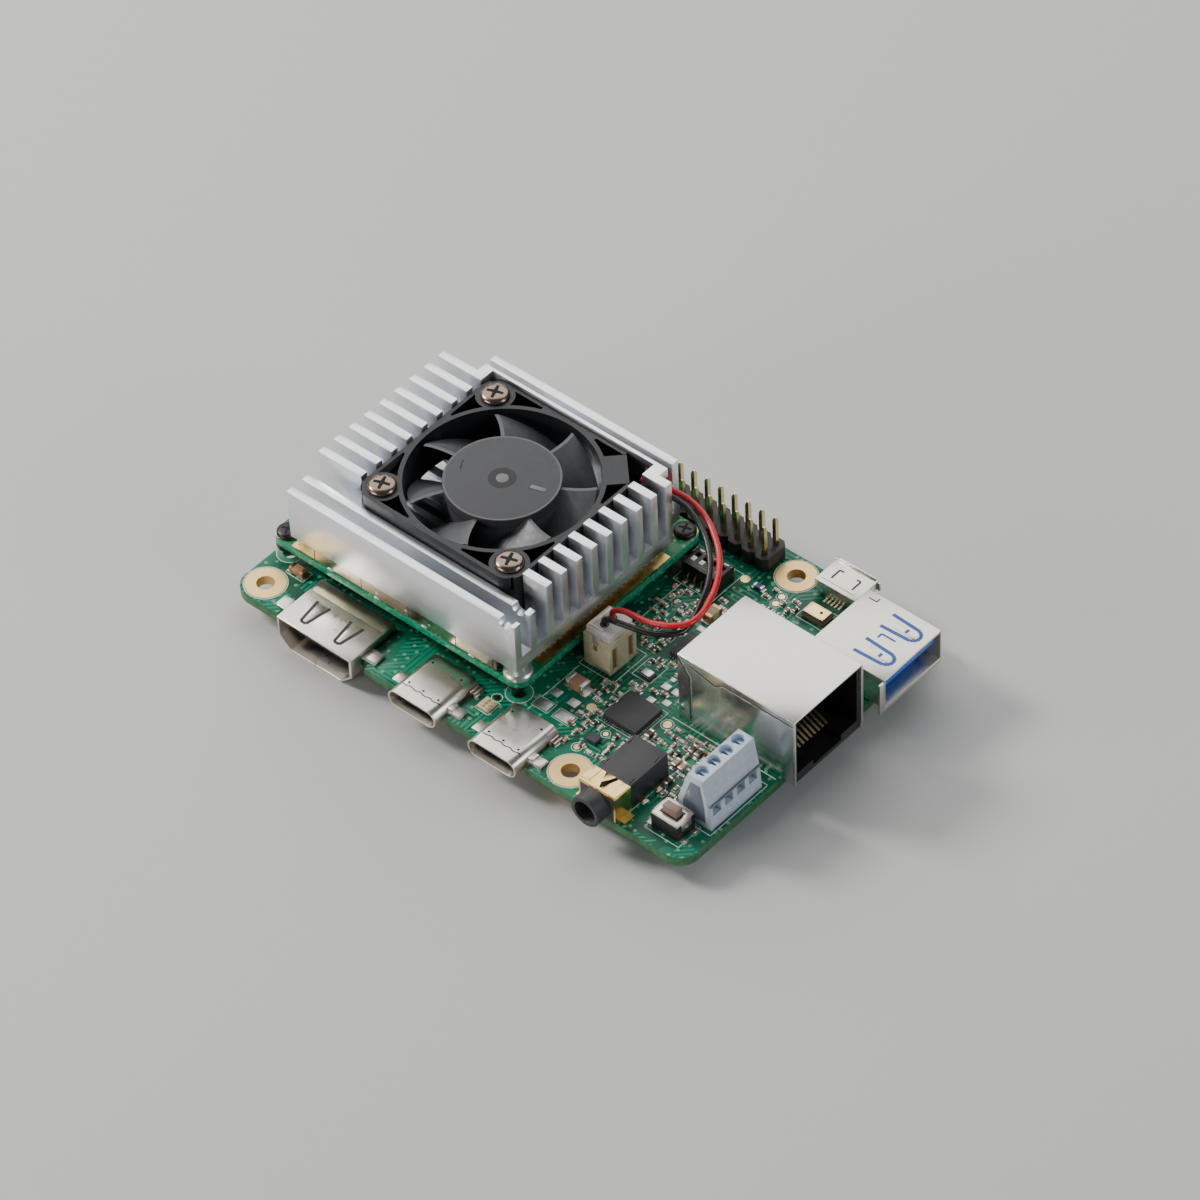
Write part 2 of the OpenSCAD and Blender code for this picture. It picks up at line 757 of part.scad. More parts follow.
// A square metal cage that rises round the bare wire when its screw is turned
module terminal_clamp(k)
    color("gainsboro") on_board() translate([terminal_screw_x, terminal_way_y(k), clamp_z]) {
        l = clamp_size.x / 2;
        w = clamp_size.y / 2;
        difference() {
            block([-l, l], [-w, w], [0, clamp_size.z]);
            block([-l - eps, l + eps], [-w + 0.25, w - 0.25], [0.5, clamp_size.z - clamp_wall]);
            translate([0, 0, 1]) cylinder(r = screw_shank_r + 0.06, h = clamp_size.z);
        }
    }

// ---- switches ----

module at_reset() translate([reset_mid.x, reset_mid.y, 0]) children();

module reset_switch_body()
    color("black") on_board() at_reset() difference() {
        block([-reset_w / 2, reset_w / 2], [-reset_d / 2, reset_d / 2], [0, reset_h]);
        l = reset_button_size.x / 2 + reset_flange + 0.1;
        w = reset_button_size.y / 2 + reset_flange + 0.1;
        block([-l, l], [-w, w], [reset_well[0], reset_h + eps]);
    }

module reset_switch_cover()
    color("silver") on_board() at_reset() difference() {
        l = reset_button_size.x / 2 + reset_clearance;
        w = reset_button_size.y / 2 + reset_clearance;
        block([-reset_w / 2, reset_w / 2], [-reset_d / 2, reset_d / 2], [reset_h, reset_h + reset_cover_t]);
        block([-l, l], [-w, w], [0, reset_h + 1]);
    }

// The button, held down in its well by a flange under the cover
module reset_button()
    color("rosybrown") on_board() at_reset() {
        l = reset_button_size.x / 2;
        w = reset_button_size.y / 2;
        f = reset_flange;
        block([-l, l], [-w, w], [reset_well[1] - 0.7, reset_button_h]);
        block([-l - f, l + f], [-w - f, w + f], [reset_well[1], reset_h - 0.02]);
    }

// Snap dome at the bottom of the well
module reset_dome()
    color("silver") on_board() at_reset() translate([0, 0, reset_well[0]]) cylinder(r = 0.75, h = 0.4);

module boot_switch_body()
    color("black") on_board() difference() {
        block(boot_x, boot_y, [0, boot_h]);
        for (k = [1 : 4])
            translate([boot_slider_x(k) - boot_slot.x / 2, boot_mid_y - boot_slot.y / 2, boot_h - boot_slot.z])
                cube([boot_slot.x, boot_slot.y, boot_slot.z + eps]);
    }

function boot_slider_x(k) = (boot_x[0] + boot_x[1]) / 2 + (k - 2.5) * boot_pitch;

module boot_slider(k)
    color("white") on_board()
        translate([boot_slider_x(k) - boot_knob.x / 2, boot_mid_y - boot_slot.y / 2 + 0.05, boot_h - boot_slot.z])
            cube([boot_knob.x, boot_knob.y, boot_slot.z + boot_knob_rise]);

// ---- fan lead ----

module fan_header()
    color("ivory") on_board() difference() {
        block(header2_x, header2_y, [0, header2_h]);
        fan_header_cavity(0);
        // Keying notch in the front wall
        block(header2_notch_x, [header2_y[0] - eps, header2_y[0] + 1], [header2_notch_z, header2_h + eps]);
        // Two blind slots in the end wall
        for (y = header2_slot_y) block([header2_x[1] - 0.4, header2_x[1] + 1], [y, y + 1], header2_slot_z);
    }

module fan_header_cavity(gap)
    block(
        [header2_x[0] + header2_wall + gap, header2_x[1] - header2_wall - gap],
        [header2_y[0] + header2_wall + gap, header2_y[1] - header2_wall - gap],
        [0.9, header2_h + 1]
    );

module fan_plug()
    color("white") on_board() {
        intersection() {
            fan_header_cavity(0.03);
            block(header2_x, header2_y, [0.95, header2_h + eps]);
        }
        block(
            [header2_x[0] + plug_lip[0], header2_x[1] - plug_lip[0]],
            [header2_y[0] + plug_lip[1], header2_y[1] - plug_lip[1]],
            [header2_h, plug_top]
        );
    }

module fan_wire_red() color("red") on_board() wire(red_route, wire_d);

module fan_wire_black() color("black") on_board() wire(black_route, wire_d);

// ---- small parts on the carrier board ----

module board_chips()
    color("dimgray") on_board()
        for (c = [chip_codec, chip_mic, chip_power, chip_bridge, chip_crystal]) block(c[0], c[1], c[2]);

// A two-ended part: its plan centre, its size, and the angle it is turned by
module passive(at, size, turn = 0)
    translate([at.x, at.y, 0]) rotate(turn) block([-size.x / 2, size.x / 2], [-size.y / 2, size.y / 2], [0, size.z]);

module board_passives()
    color("saddlebrown") on_board() {
        passive([51.8, 16.3], [3.2, 1.8, 1.6]);
        passive([5.8, 8], [2.6, 1.3, 1]);
        passive([44.3, 5.5], [2, 2.2, 0.6]);
        passive([41.5, 6.3], [0.9, 1.7, 0.7]);
        passive([56.5, 6.3], [0.9, 1.7, 0.7]);
        passive([57.4, 38.8], [2.6, 1.5, 1.2], 90);
        passive([58.9, 47.3], [1.6, 0.8, 0.6]);
        passive([73.5, 10.3], [1.6, 0.8, 0.7], 90);
        for (p = tall_passives) passive(p, [0.8, 1.6, 0.8]);
        for (p = low_passives) passive(p, [1, 0.5, 0.5]);
        for (p = turned_passives) passive(p, [1, 0.5, 0.5], 90);
    }

// ---- processor module ----

module at_module_screws()
    for (x = module_hole_x, y = module_hole_y) translate([x, y, 0]) children();

module module_board()
    color("mediumseagreen") on_board() difference() {
        translate([module_x, module_y, module_bottom])
            linear_extrude(module_t) rounded_rect(module_l, module_w, module_r);
        at_module_screws() translate([0, 0, module_bottom - eps]) cylinder(r = 1.2, h = module_t + 2 * eps);
    }

// Round nuts below three corners of the module
module module_nuts()
    color("dimgray") on_board() for (p = module_screw_places)
        translate([module_hole_x[p.x], module_hole_y[p.y], module_bottom - module_nut_h])
            ring(module_nut_r, thread_r, module_nut_h);

// Screws from above at three corners; the fourth holds the heat sink's post from below
module module_screws()
    color("black") on_board() {
        for (p = module_screw_places) translate([module_hole_x[p.x], module_hole_y[p.y], 0]) {
            difference() {
                translate([0, 0, module_top]) cylinder(r = module_head_r, h = module_head_h);
                translate([0, 0, module_top + module_head_h]) cross_recess(2.1, 0.5);
            }
            translate([0, 0, module_bottom - module_nut_h - screw_end])
                cylinder(r = thread_r, h = module_t + module_nut_h + screw_end + eps);
        }
        translate([module_hole_x[1], module_hole_y[0], module_bottom - module_head_h]) {
            cylinder(r = module_head_r, h = module_head_h);
            cylinder(r = thread_r, h = sink_bottom - module_bottom);
        }
    }

// Board-to-board connectors between the two boards
module module_connectors()
    color("black") on_board() {
        block([12, 36], [11, 14.4], [0, module_gap]);
        block([12, 36], [41.6, 45], [0, module_gap]);
        block([41.4, 44.8], [17, 38], [0, module_gap]);
    }

module module_shield()
    color("tan") on_board() difference() {
        block(shield_x, shield_y, [module_top, module_top + shield_h]);
        block(
            [shield_x[0] + shield_t, shield_x[1] - shield_t],
            [shield_y[0] + shield_t, shield_y[1] - shield_t],
            [module_top - eps, module_top + shield_h + eps]
        );
        // Room for the heat sink's post
        block([module_hole_x[1] - 2.4, 50], [0, module_hole_y[0] + 2.4], [0, 10]);
    }

module module_chips()
    color("dimgray") on_board()
        for (c = module_chip_list)
            block([c[0].x, c[0].x + c[1].x], [c[0].y, c[0].y + c[1].y], [module_top, module_top + c[2]]);

module thermal_pads()
    color("lightpink") on_board()
        for (c = module_chip_list)
            block(
                [c[0].x + 0.5, c[0].x + c[1].x - 0.5],
                [c[0].y + 0.5, c[0].y + c[1].y - 0.5],
                [module_top + c[2], sink_bottom]
            );

// ---- heat sink ----

module heat_sink()
    color("lightgray") on_board() {
        difference() {
            union() {
                block(sink_x, sink_y, [sink_bottom, sink_base_top]);
                sink_fins();
            }
            // Corners cut back over the module's screws
            block([0, sink_notch_x[0]], [sink_notch_y, 60], [0, 30]);
            block([sink_notch_x[1], 60], [sink_notch_y, 60], [0, 30]);
            // Pocket that the fan sits in
            block(pocket_x, pocket_y, [low_fin_under_fan, 30]);
            // Gate that the fan's wires leave through
            block(wire_gate_x, [39, thick_fin_y[1] + eps], wire_gate_z);
            // Half-round scallops in the tops of the two low fins
            for (p = [[46.5, sink_y[0]], [46.2, second_fin_y]])
                translate([p.x, p.y - eps, low_fin_top]) rotate([-90, 0, 0]) cylinder(r = scallop_r, h = fin_t + 2 * eps);
            fan_screw_bores();
        }
        difference() {
            // Posts that carry the fan
            at_fan_screws() translate([0, 0, sink_base_top - eps]) cylinder(r = boss_r, h = fan_bottom - sink_base_top + eps);
            fan_screw_bores();
        }
        // Post down to the module at the front corner
        difference() {
            translate([module_hole_x[1], module_hole_y[0], module_top])
                cylinder(r = sink_post_r, h = sink_bottom - module_top + eps);
            translate([module_hole_x[1], module_hole_y[0], module_top - eps]) cylinder(r = thread_r, h = 2.8 + eps);
        }
    }

module at_fan_screws()
    for (p = fan_screw_places)
        translate([fan_mid.x + p.x * fan_screw_offset, fan_mid.y + p.y * fan_screw_offset, 0]) children();

module fan_screw_bores()
    at_fan_screws() translate([0, 0, sink_bottom + 1]) cylinder(r = fan_thread_r, h = 20);

module sink_fins() {
    block(sink_x, [sink_y[0], sink_y[0] + fin_t], [sink_bottom, low_fin_top]);
    block(sink_x, [second_fin_y, second_fin_y + fin_t], [sink_bottom, low_fin_top]);
    for (k = [0 : tall_fins - 1]) {
        y = first_tall_fin_y + k * fin_pitch;
        block(sink_x, [y, y + fin_t], [sink_bottom, fin_top]);
    }
    // The fin behind the fan is thick beside it and thin along its back
    block(sink_x, [thick_fin_y[0], sink_notch_y], [sink_bottom, fin_top]);
    block(sink_notch_x, [thick_fin_y[0], thick_fin_y[1]], [sink_bottom, fin_top]);
    block(sink_notch_x, last_fin_y, [sink_bottom, fin_top]);
}

// ---- fan ----

module at_fan() translate([fan_mid.x, fan_mid.y, 0]) children();

module fan_frame()
    color("dimgray") on_board() at_fan() {
        difference() {
            translate([-fan_w / 2, -fan_w / 2, fan_bottom]) linear_extrude(fan_t) rounded_rect(fan_w, fan_w, fan_corner_r);
            translate([0, 0, fan_bottom - eps]) cylinder(r = fan_bore_r, h = fan_t + 1, $fn = 96);
            for (p = fan_screw_places)
                translate([p.x * fan_screw_offset, p.y * fan_screw_offset, fan_bottom - eps])
                    cylinder(r = fan_screw_hole_r, h = fan_t + 1);
            translate([0, 0, fan_top - fan_pocket_depth]) linear_extrude(fan_pocket_depth + eps) fan_pocket_outline();
            fan_wire_corner();
        }
        fan_base();
    }

// Hollows between the ring, the screw bosses and the outer rim
module fan_pocket_outline()
    difference() {
        square(fan_w - 2 * fan_rim_t, center = true);
        circle(fan_bore_r + fan_ring_t, $fn = 96);
        for (p = fan_screw_places) translate(p * fan_screw_offset) circle(fan_boss_r);
        rotate(45) fan_ledge_outline();
        // The rim is solid halfway along each side
        square([fan_w, 10], center = true);
        square([10, fan_w], center = true);
    }

// The corner where the wires leave is cut away above a low ledge
module fan_wire_corner()
    difference() {
        block([fan_exit, fan_w / 2 + 1], [fan_exit, fan_w / 2 + 1], [fan_bottom + 2.6, fan_top + 1]);
        cylinder(r = fan_bore_r + fan_ring_t, h = 40, $fn = 96);
        // Ledge that the wires are led under
        translate([0, 0, fan_top - fan_ledge_t]) linear_extrude(fan_ledge_t) rotate(45) fan_ledge_outline();
    }

module fan_ledge_outline() translate([0, -fan_ledge[1]]) square([fan_ledge[0], 2 * fan_ledge[1]]);

// Three struts and a plate that carry the motor
module fan_base() {
    difference() {
        union() {
            translate([0, 0, fan_bottom]) cylinder(r = hub_r - 0.2, h = fan_plate_t);
            for (a = [45, 165, 285])
                rotate(a) block([4, fan_bore_r + 0.3], [-fan_strut_w / 2, fan_strut_w / 2], [fan_bottom, fan_bottom + fan_plate_t]);
        }
        translate([0, 0, fan_bottom - eps]) cylinder(r = bearing_r, h = fan_plate_t + 2 * eps);
    }
}

module fan_bearing()
    color("goldenrod") on_board() at_fan()
        translate([0, 0, fan_bottom]) ring(bearing_r, shaft_r + bearing_clearance, bearing_top - fan_bottom);

module fan_shaft()
    color("silver") on_board() at_fan()
        translate([0, 0, shaft_z[0]]) cylinder(r = shaft_r, h = shaft_z[1] - shaft_z[0]);

module fan_rotor()
    color("dimgray") on_board() at_fan() {
        difference() {
            translate([0, 0, hub_bottom]) cylinder(r = hub_r, h = hub_top - hub_bottom, $fn = 96);
            translate([0, 0, hub_bottom - eps])
                cylinder(r = hub_r - hub_wall, h = hub_top - hub_roof_t - hub_bottom + eps, $fn = 96);
            translate([0, 0, hub_bottom]) cylinder(r = shaft_r, h = shaft_z[1] - hub_bottom);
        }
        for (k = [1 : blade_count]) rotate(360 * k / blade_count + blade_phase) blade();
    }

// Plan outline of a blade: it leans back as it goes outwards
function blade_point(u, side) =
    let (r = hub_r - 0.3 + u * (blade_r - hub_r + 0.3), a = blade_sweep * u * u + side * blade_t / r * 30)
    [r * cos(a), r * sin(a)];

module blade()
    translate([0, 0, blade_z[0]])
        linear_extrude(blade_z[1] - blade_z[0], twist = blade_twist, slices = 6, segments = 12)
            polygon(concat(
                [for (u = [0 : 0.2 : 1]) blade_point(u, -1)],
                [for (u = [1 : -0.2 : 0]) blade_point(u, 1)]
            ));

module fan_magnet()
    color("black") on_board() at_fan()
        translate([0, 0, stator_z[0]])
            ring(hub_r - hub_wall, hub_r - hub_wall - magnet_t, hub_top - hub_roof_t - stator_z[0]);

// Four wound poles round the bearing
module fan_stator()
    color("peru") on_board() at_fan()
        translate([0, 0, stator_z[0]]) linear_extrude(stator_z[1] - stator_z[0])
            difference() {
                union() {
                    circle(2.8);
                    for (a = [0 : 90 : 270]) rotate(a) {
                        translate([0, -1]) square([stator_r - 0.5, 2]);
                        intersection() {
                            difference() {
                                circle(stator_r);
                                circle(stator_r - 0.9);
                            }
                            translate([0, -3.4]) square([stator_r, 6.8]);
                        }
                    }
                }
                circle(bearing_r);
            }

module fan_screws()
    color("rosybrown") on_board() at_fan_screws() {
        difference() {
            translate([0, 0, fan_top]) cylinder(r = fan_head_r, h = fan_head_h);
            translate([0, 0, fan_top + fan_head_h]) cross_recess(3.2, 0.6);
        }
        translate([0, 0, sink_bottom + 1.3]) cylinder(r = fan_thread_r, h = fan_top - sink_bottom - 1.3 + eps);
    }

// ---- underside ----

// Moves a connector drawn upright, front towards -Y, to the board's underside
module on_underside(at) translate([at.x, at.y, -board_t]) mirror([0, 0, 1]) children();

module flat_cable_connector() {
    l = ffc_size.x / 2;
    difference() {
        block([-l, l], [0, ffc_size.y], [0, ffc_size.z]);
        block([-l + ffc_ear_w, l - ffc_ear_w], [-eps, ffc_roof_y], [ffc_floor, ffc_size.z + eps]);
        block([-l + ffc_ear_w, l - ffc_ear_w], [-eps, ffc_size.y - 0.6], [ffc_floor, ffc_slot_top]);
        translate([-l + 0.3, ffc_pivot[0], ffc_pivot[1]])
            rotate([0, 90, 0]) cylinder(r = ffc_pin_r + ffc_pin_clearance, h = 2 * l - 0.6);
    }
}

module flat_cable_connectors()
    color("ivory") on_board() for (at = [camera_at, display_at]) on_underside(at) flat_cable_connector();

// Flip latch over the cable slot, on two short pivots
module flat_cable_latch() {
    l = ffc_size.x / 2 - ffc_ear_w - ffc_latch_gap;
    block([-l, l], ffc_latch_y, ffc_latch_z);
    translate([-l - 0.5, ffc_pivot[0], ffc_pivot[1]]) rotate([0, 90, 0]) cylinder(r = ffc_pin_r, h = 2 * l + 1);
}

module camera_latch() color("black") on_board() on_underside(camera_at) flat_cable_latch();

module display_latch() color("black") on_board() on_underside(display_at) flat_cable_latch();

module card_slot()
    color("silver") on_board() difference() {
        block(card_x, card_y, [-board_t - card_h, -board_t]);
        block(
            [card_x[0] - eps, card_x[1] - 1.2],
            [card_y[0] + card_wall + 1.2, card_y[1] - card_wall - 1.2],
            [-board_t - card_h + card_wall, -board_t - 0.4]
        );
    }

main_board();
mounting_hole_plating();
pin_header_body();
pin_header_pins();
network_jack_shell();
network_jack_housing();
network_jack_contacts();
host_socket_shell();
host_socket_tongue();
console_socket_shell();
console_socket_insert();
video_socket_shell();
video_socket_tongue();
type_c_socket_shells();
type_c_socket_tongues();
audio_jack_body();
audio_jack_bracket();
speaker_terminal_housing();
terminal_screw(1);  // terminal_screw_1
terminal_screw(2);  // terminal_screw_2
terminal_screw(3);  // terminal_screw_3
terminal_screw(4);  // terminal_screw_4
terminal_clamp(1);  // terminal_clamp_1
terminal_clamp(2);  // terminal_clamp_2
terminal_clamp(3);  // terminal_clamp_3
terminal_clamp(4);  // terminal_clamp_4
reset_switch_body();
reset_switch_cover();
reset_button();
reset_dome();
boot_switch_body();
boot_slider(1);  // boot_slider_1
boot_slider(2);  // boot_slider_2
boot_slider(3);  // boot_slider_3
boot_slider(4);  // boot_slider_4
fan_header();
fan_plug();
fan_wire_red();
fan_wire_black();
board_chips();
board_passives();
module_board();
module_screws();
module_nuts();
module_connectors();
module_shield();
module_chips();
thermal_pads();
heat_sink();
fan_frame();
fan_rotor();
fan_shaft();
fan_bearing();
fan_stator();
fan_magnet();
fan_screws();
flat_cable_connectors();
camera_latch();
display_latch();
card_slot();
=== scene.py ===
"""Looks of the single board computer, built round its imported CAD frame.

Detail pieces are drawn in board millimetres: x and y count from the main board's near left
corner and z from its top face.
"""

import json
import math
import random

import bmesh
import bpy
from mathutils import Matrix, Vector

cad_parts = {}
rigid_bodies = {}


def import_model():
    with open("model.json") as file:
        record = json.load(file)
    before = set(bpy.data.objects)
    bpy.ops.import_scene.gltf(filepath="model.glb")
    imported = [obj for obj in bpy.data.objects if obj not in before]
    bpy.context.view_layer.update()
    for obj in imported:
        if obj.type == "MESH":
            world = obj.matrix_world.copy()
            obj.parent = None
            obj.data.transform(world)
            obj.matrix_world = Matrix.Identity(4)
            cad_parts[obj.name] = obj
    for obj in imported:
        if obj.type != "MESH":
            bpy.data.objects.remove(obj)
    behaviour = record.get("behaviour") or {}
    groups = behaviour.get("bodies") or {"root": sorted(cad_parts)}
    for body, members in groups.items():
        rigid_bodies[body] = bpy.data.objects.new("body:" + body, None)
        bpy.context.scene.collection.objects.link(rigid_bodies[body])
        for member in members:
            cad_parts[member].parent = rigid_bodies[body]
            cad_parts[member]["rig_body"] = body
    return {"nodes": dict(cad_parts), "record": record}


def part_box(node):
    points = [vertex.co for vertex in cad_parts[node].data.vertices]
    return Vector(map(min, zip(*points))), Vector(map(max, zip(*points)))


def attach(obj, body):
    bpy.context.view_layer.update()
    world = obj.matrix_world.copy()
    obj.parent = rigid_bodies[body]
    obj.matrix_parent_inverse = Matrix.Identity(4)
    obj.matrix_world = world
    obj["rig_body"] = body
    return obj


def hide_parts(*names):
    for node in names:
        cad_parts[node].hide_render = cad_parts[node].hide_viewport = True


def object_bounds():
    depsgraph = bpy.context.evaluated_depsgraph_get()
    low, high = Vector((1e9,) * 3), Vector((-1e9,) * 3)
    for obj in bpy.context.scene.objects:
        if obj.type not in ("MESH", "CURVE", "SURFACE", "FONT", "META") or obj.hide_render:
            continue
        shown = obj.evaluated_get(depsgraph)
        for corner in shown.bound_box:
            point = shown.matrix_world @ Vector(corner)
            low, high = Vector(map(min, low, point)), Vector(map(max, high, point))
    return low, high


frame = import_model()
cad_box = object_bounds()

MM = 0.001
BOARD_LOW, BOARD_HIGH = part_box("main_board")
BOARD_T = (BOARD_HIGH.z - BOARD_LOW.z) / MM
CORNER = Vector((BOARD_LOW.x, BOARD_LOW.y, BOARD_HIGH.z))
TO_FRAME = Matrix.Translation(CORNER) @ Matrix.Scale(MM, 4)


def place(x, y, z):
    """A point given in board millimetres, in the part's own frame."""
    return CORNER + Vector((x, y, z)) * MM


# ---- camera, light and floor

CAMERA_PLACE = (0.43922, -0.45847, 0.64055)
CAMERA_AZIMUTH = 132.891
CAMERA_ELEVATION = -45.399
CAMERA_ROLL = -2.634
CAMERA_LENS = 189.12
SENSOR_WIDTH = 36
FLOOR_SIDE = 6.0


def make_camera():
    azimuth, elevation = math.radians(CAMERA_AZIMUTH), math.radians(CAMERA_ELEVATION)
    forward = Vector((math.cos(azimuth) * math.cos(elevation),
                      math.sin(azimuth) * math.cos(elevation), math.sin(elevation)))
    level = forward.to_track_quat("-Z", "Y").to_matrix().to_4x4()
    data = bpy.data.cameras.new("camera")
    data.lens = CAMERA_LENS
    data.sensor_width = SENSOR_WIDTH
    data.clip_start = 0.01
    camera = bpy.data.objects.new("camera", data)
    camera.matrix_world = (Matrix.Translation(CAMERA_PLACE) @ level
                           @ Matrix.Rotation(math.radians(CAMERA_ROLL), 4, "Z"))
    bpy.context.scene.collection.objects.link(camera)
    bpy.context.scene.camera = camera


WORLD_COLOUR = (0.78, 0.84, 0.92, 1)
WORLD_STRENGTH = 0.13
# Name, place, width and height, watts and colour; each one faces the origin
SOFT_LIGHTS = (
    ("key", (-0.62, 0.66, 0.92), (1.9, 1.3), 16.5, (1.0, 0.985, 0.96)),
    ("side", (-0.75, -0.25, 0.60), (0.25, 0.25), 7.5, (1.0, 0.98, 0.95)),
    ("fill", (0.85, 0.25, 0.45), (0.30, 0.50), 2.4, (0.93, 0.96, 1.0)),
    ("front", (-0.30, -0.80, 0.22), (0.50, 0.16), 2.6, (1.0, 0.94, 0.86)),
)


def make_light():
    world = bpy.data.worlds.new("studio")
    bpy.context.scene.world = world
    world.use_nodes = True
    background = world.node_tree.nodes["Background"]
    background.inputs["Color"].default_value = WORLD_COLOUR
    background.inputs["Strength"].default_value = WORLD_STRENGTH
    for name, spot, side, watts, colour in SOFT_LIGHTS:
        data = bpy.data.lights.new(name, "AREA")
        data.shape = "RECTANGLE"
        data.size, data.size_y = side
        data.energy = watts
        data.color = colour
        lamp = bpy.data.objects.new(name, data)
        aim = (-Vector(spot)).to_track_quat("-Z", "Y")
        lamp.matrix_world = Matrix.Translation(spot) @ aim.to_matrix().to_4x4()
        bpy.context.scene.collection.objects.link(lamp)


def make_floor():
    mesh = bpy.data.meshes.new("floor")
    half = FLOOR_SIDE / 2
    z = cad_box[0][2]
    corners = [(-half, -half, z), (half, -half, z), (half, half, z), (-half, half, z)]
    mesh.from_pydata(corners, [], [(0, 1, 2, 3)])
    floor = bpy.data.objects.new("floor", mesh)
    bpy.context.scene.collection.objects.link(floor)
    paint = Paint("floor_paint", (0.62, 0.62, 0.61), 0.75)
    paint.mottle(0.02, 25, 0.04)
    mesh.materials.append(paint.material)


# ---- materials

class Paint:
    """A Principled material whose colour, roughness and bump come from textures in millimetres."""

    def __init__(self, name, colour, roughness, metallic=0.0):
        self.material = bpy.data.materials.new(name)
        self.material.use_nodes = True
        self.tree = self.material.node_tree
        self.shader = self.tree.nodes["Principled BSDF"]
        self.shader.inputs["Base Color"].default_value = (*colour, 1)
        self.shader.inputs["Roughness"].default_value = roughness
        self.shader.inputs["Metallic"].default_value = metallic
        self.material.diffuse_color = (*colour, 1)
        self.colour, self.roughness = colour, roughness
        self.coords = self.node("ShaderNodeTexCoord", {}).outputs["Object"]

    def node(self, kind, sockets, **settings):
        """A new node; each socket is given a value or is linked to another node's output."""
        made = self.tree.nodes.new(kind)
        for key, value in settings.items():
            setattr(made, key, value)
        for key, value in sockets.items():
            if isinstance(value, bpy.types.NodeSocket):
                self.tree.links.new(value, made.inputs[key])
            else:
                made.inputs[key].default_value = value
        return made

    def to_shader(self, output, socket):
        self.tree.links.new(output, self.shader.inputs[socket])

    def scaled(self, scale=(1, 1, 1), turn=0.0):
        """Object coordinates in millimetres, times scale on each axis."""
        mapping = self.node("ShaderNodeMapping", {
            "Scale": [s / MM for s in scale], "Rotation": (0, 0, math.radians(turn)),
            "Vector": self.coords})
        return mapping.outputs["Vector"]

    def noise(self, scale, detail=3.0, stretch=(1, 1, 1)):
        texture = self.node("ShaderNodeTexNoise", {
            "Scale": scale, "Detail": detail, "Vector": self.scaled(stretch)})
        return texture.outputs["Fac"]

    def ramp(self, value, start, end, low=0.0, high=1.0):
        """Maps start to end of a value onto low to high."""
        remap = self.node("ShaderNodeMapRange", {
            "From Min": start, "From Max": end, "To Min": low, "To Max": high, "Value": value})
        return remap.outputs["Result"]

    def spread(self, value, low, high):
        """Maps the middle of a noise onto low to high."""
        return self.ramp(value, 0.3, 0.7, low, high)

    def above(self, value, level, soft=0.01):
        """0 below the level and 1 above it, with a short ramp between."""
        return self.ramp(value, level - soft, level + soft)

    def maths(self, operation, a, b):
        return self.node("ShaderNodeMath", {0: a, 1: b}, operation=operation).outputs["Value"]

    def mix(self, factor, a, b):
        """A colour between a and b, each an output or three numbers."""
        a, b = ((*c, 1) if isinstance(c, tuple) else c for c in (a, b))
        made = self.node("ShaderNodeMix", {"Factor": factor, "A": a, "B": b}, data_type="RGBA")
        return made.outputs["Result"]

    def bump(self, height, strength, depth=0.02):
        """Relief from a height; depth is in millimetres."""
        made = self.node("ShaderNodeBump", {
            "Strength": strength, "Distance": depth * MM, "Height": height})
        self.to_shader(made.outputs["Normal"], "Normal")

    def mottle(self, amount, scale, rough_amount, stretch=(1, 1, 1)):
        """Uneven colour and gloss: amount and rough_amount are the swing each way."""
        field = self.noise(scale, stretch=stretch)
        factor = self.spread(field, 0, 1)
        dark = tuple(max(0.0, c * (1 - amount)) for c in self.colour)
        light = tuple(min(1.0, c * (1 + amount)) for c in self.colour)
        self.to_shader(self.mix(factor, dark, light), "Base Color")
        low, high = self.roughness - rough_amount, self.roughness + rough_amount
        self.to_shader(self.spread(field, low, high), "Roughness")


# Size of patches and of grain (higher is finer), and the depth of the grain in millimetres
METAL_PATCHES, METAL_GRAIN, METAL_DEPTH = 0.9, 9, 0.006
PLASTIC_PATCHES, PLASTIC_GRAIN, PLASTIC_DEPTH = 1.2, 14, 0.015


def metal(name, colour, roughness, relief=0.15, patches=0.08, grain=(1, 1, 1)):
    paint = Paint(name, colour, roughness, 1.0)
    paint.mottle(patches, METAL_PATCHES, roughness * 0.10, grain)
    paint.bump(paint.noise(METAL_GRAIN, 2, grain), relief * 0.5, METAL_DEPTH)
    return paint.material


def plastic(name, colour, roughness, relief=0.25, patches=0.10):
    paint = Paint(name, colour, roughness)
    paint.mottle(patches, PLASTIC_PATCHES, 0.06)
    paint.bump(paint.noise(PLASTIC_GRAIN, 2), relief, PLASTIC_DEPTH)
    return paint.material


CELL_SCALE = 0.33
TRACE_SCALE = 0.42
VIA_SCALE = 0.55
VIA_GREEN = (0.16, 0.42, 0.25)
MASK_SPECULAR = 0.28


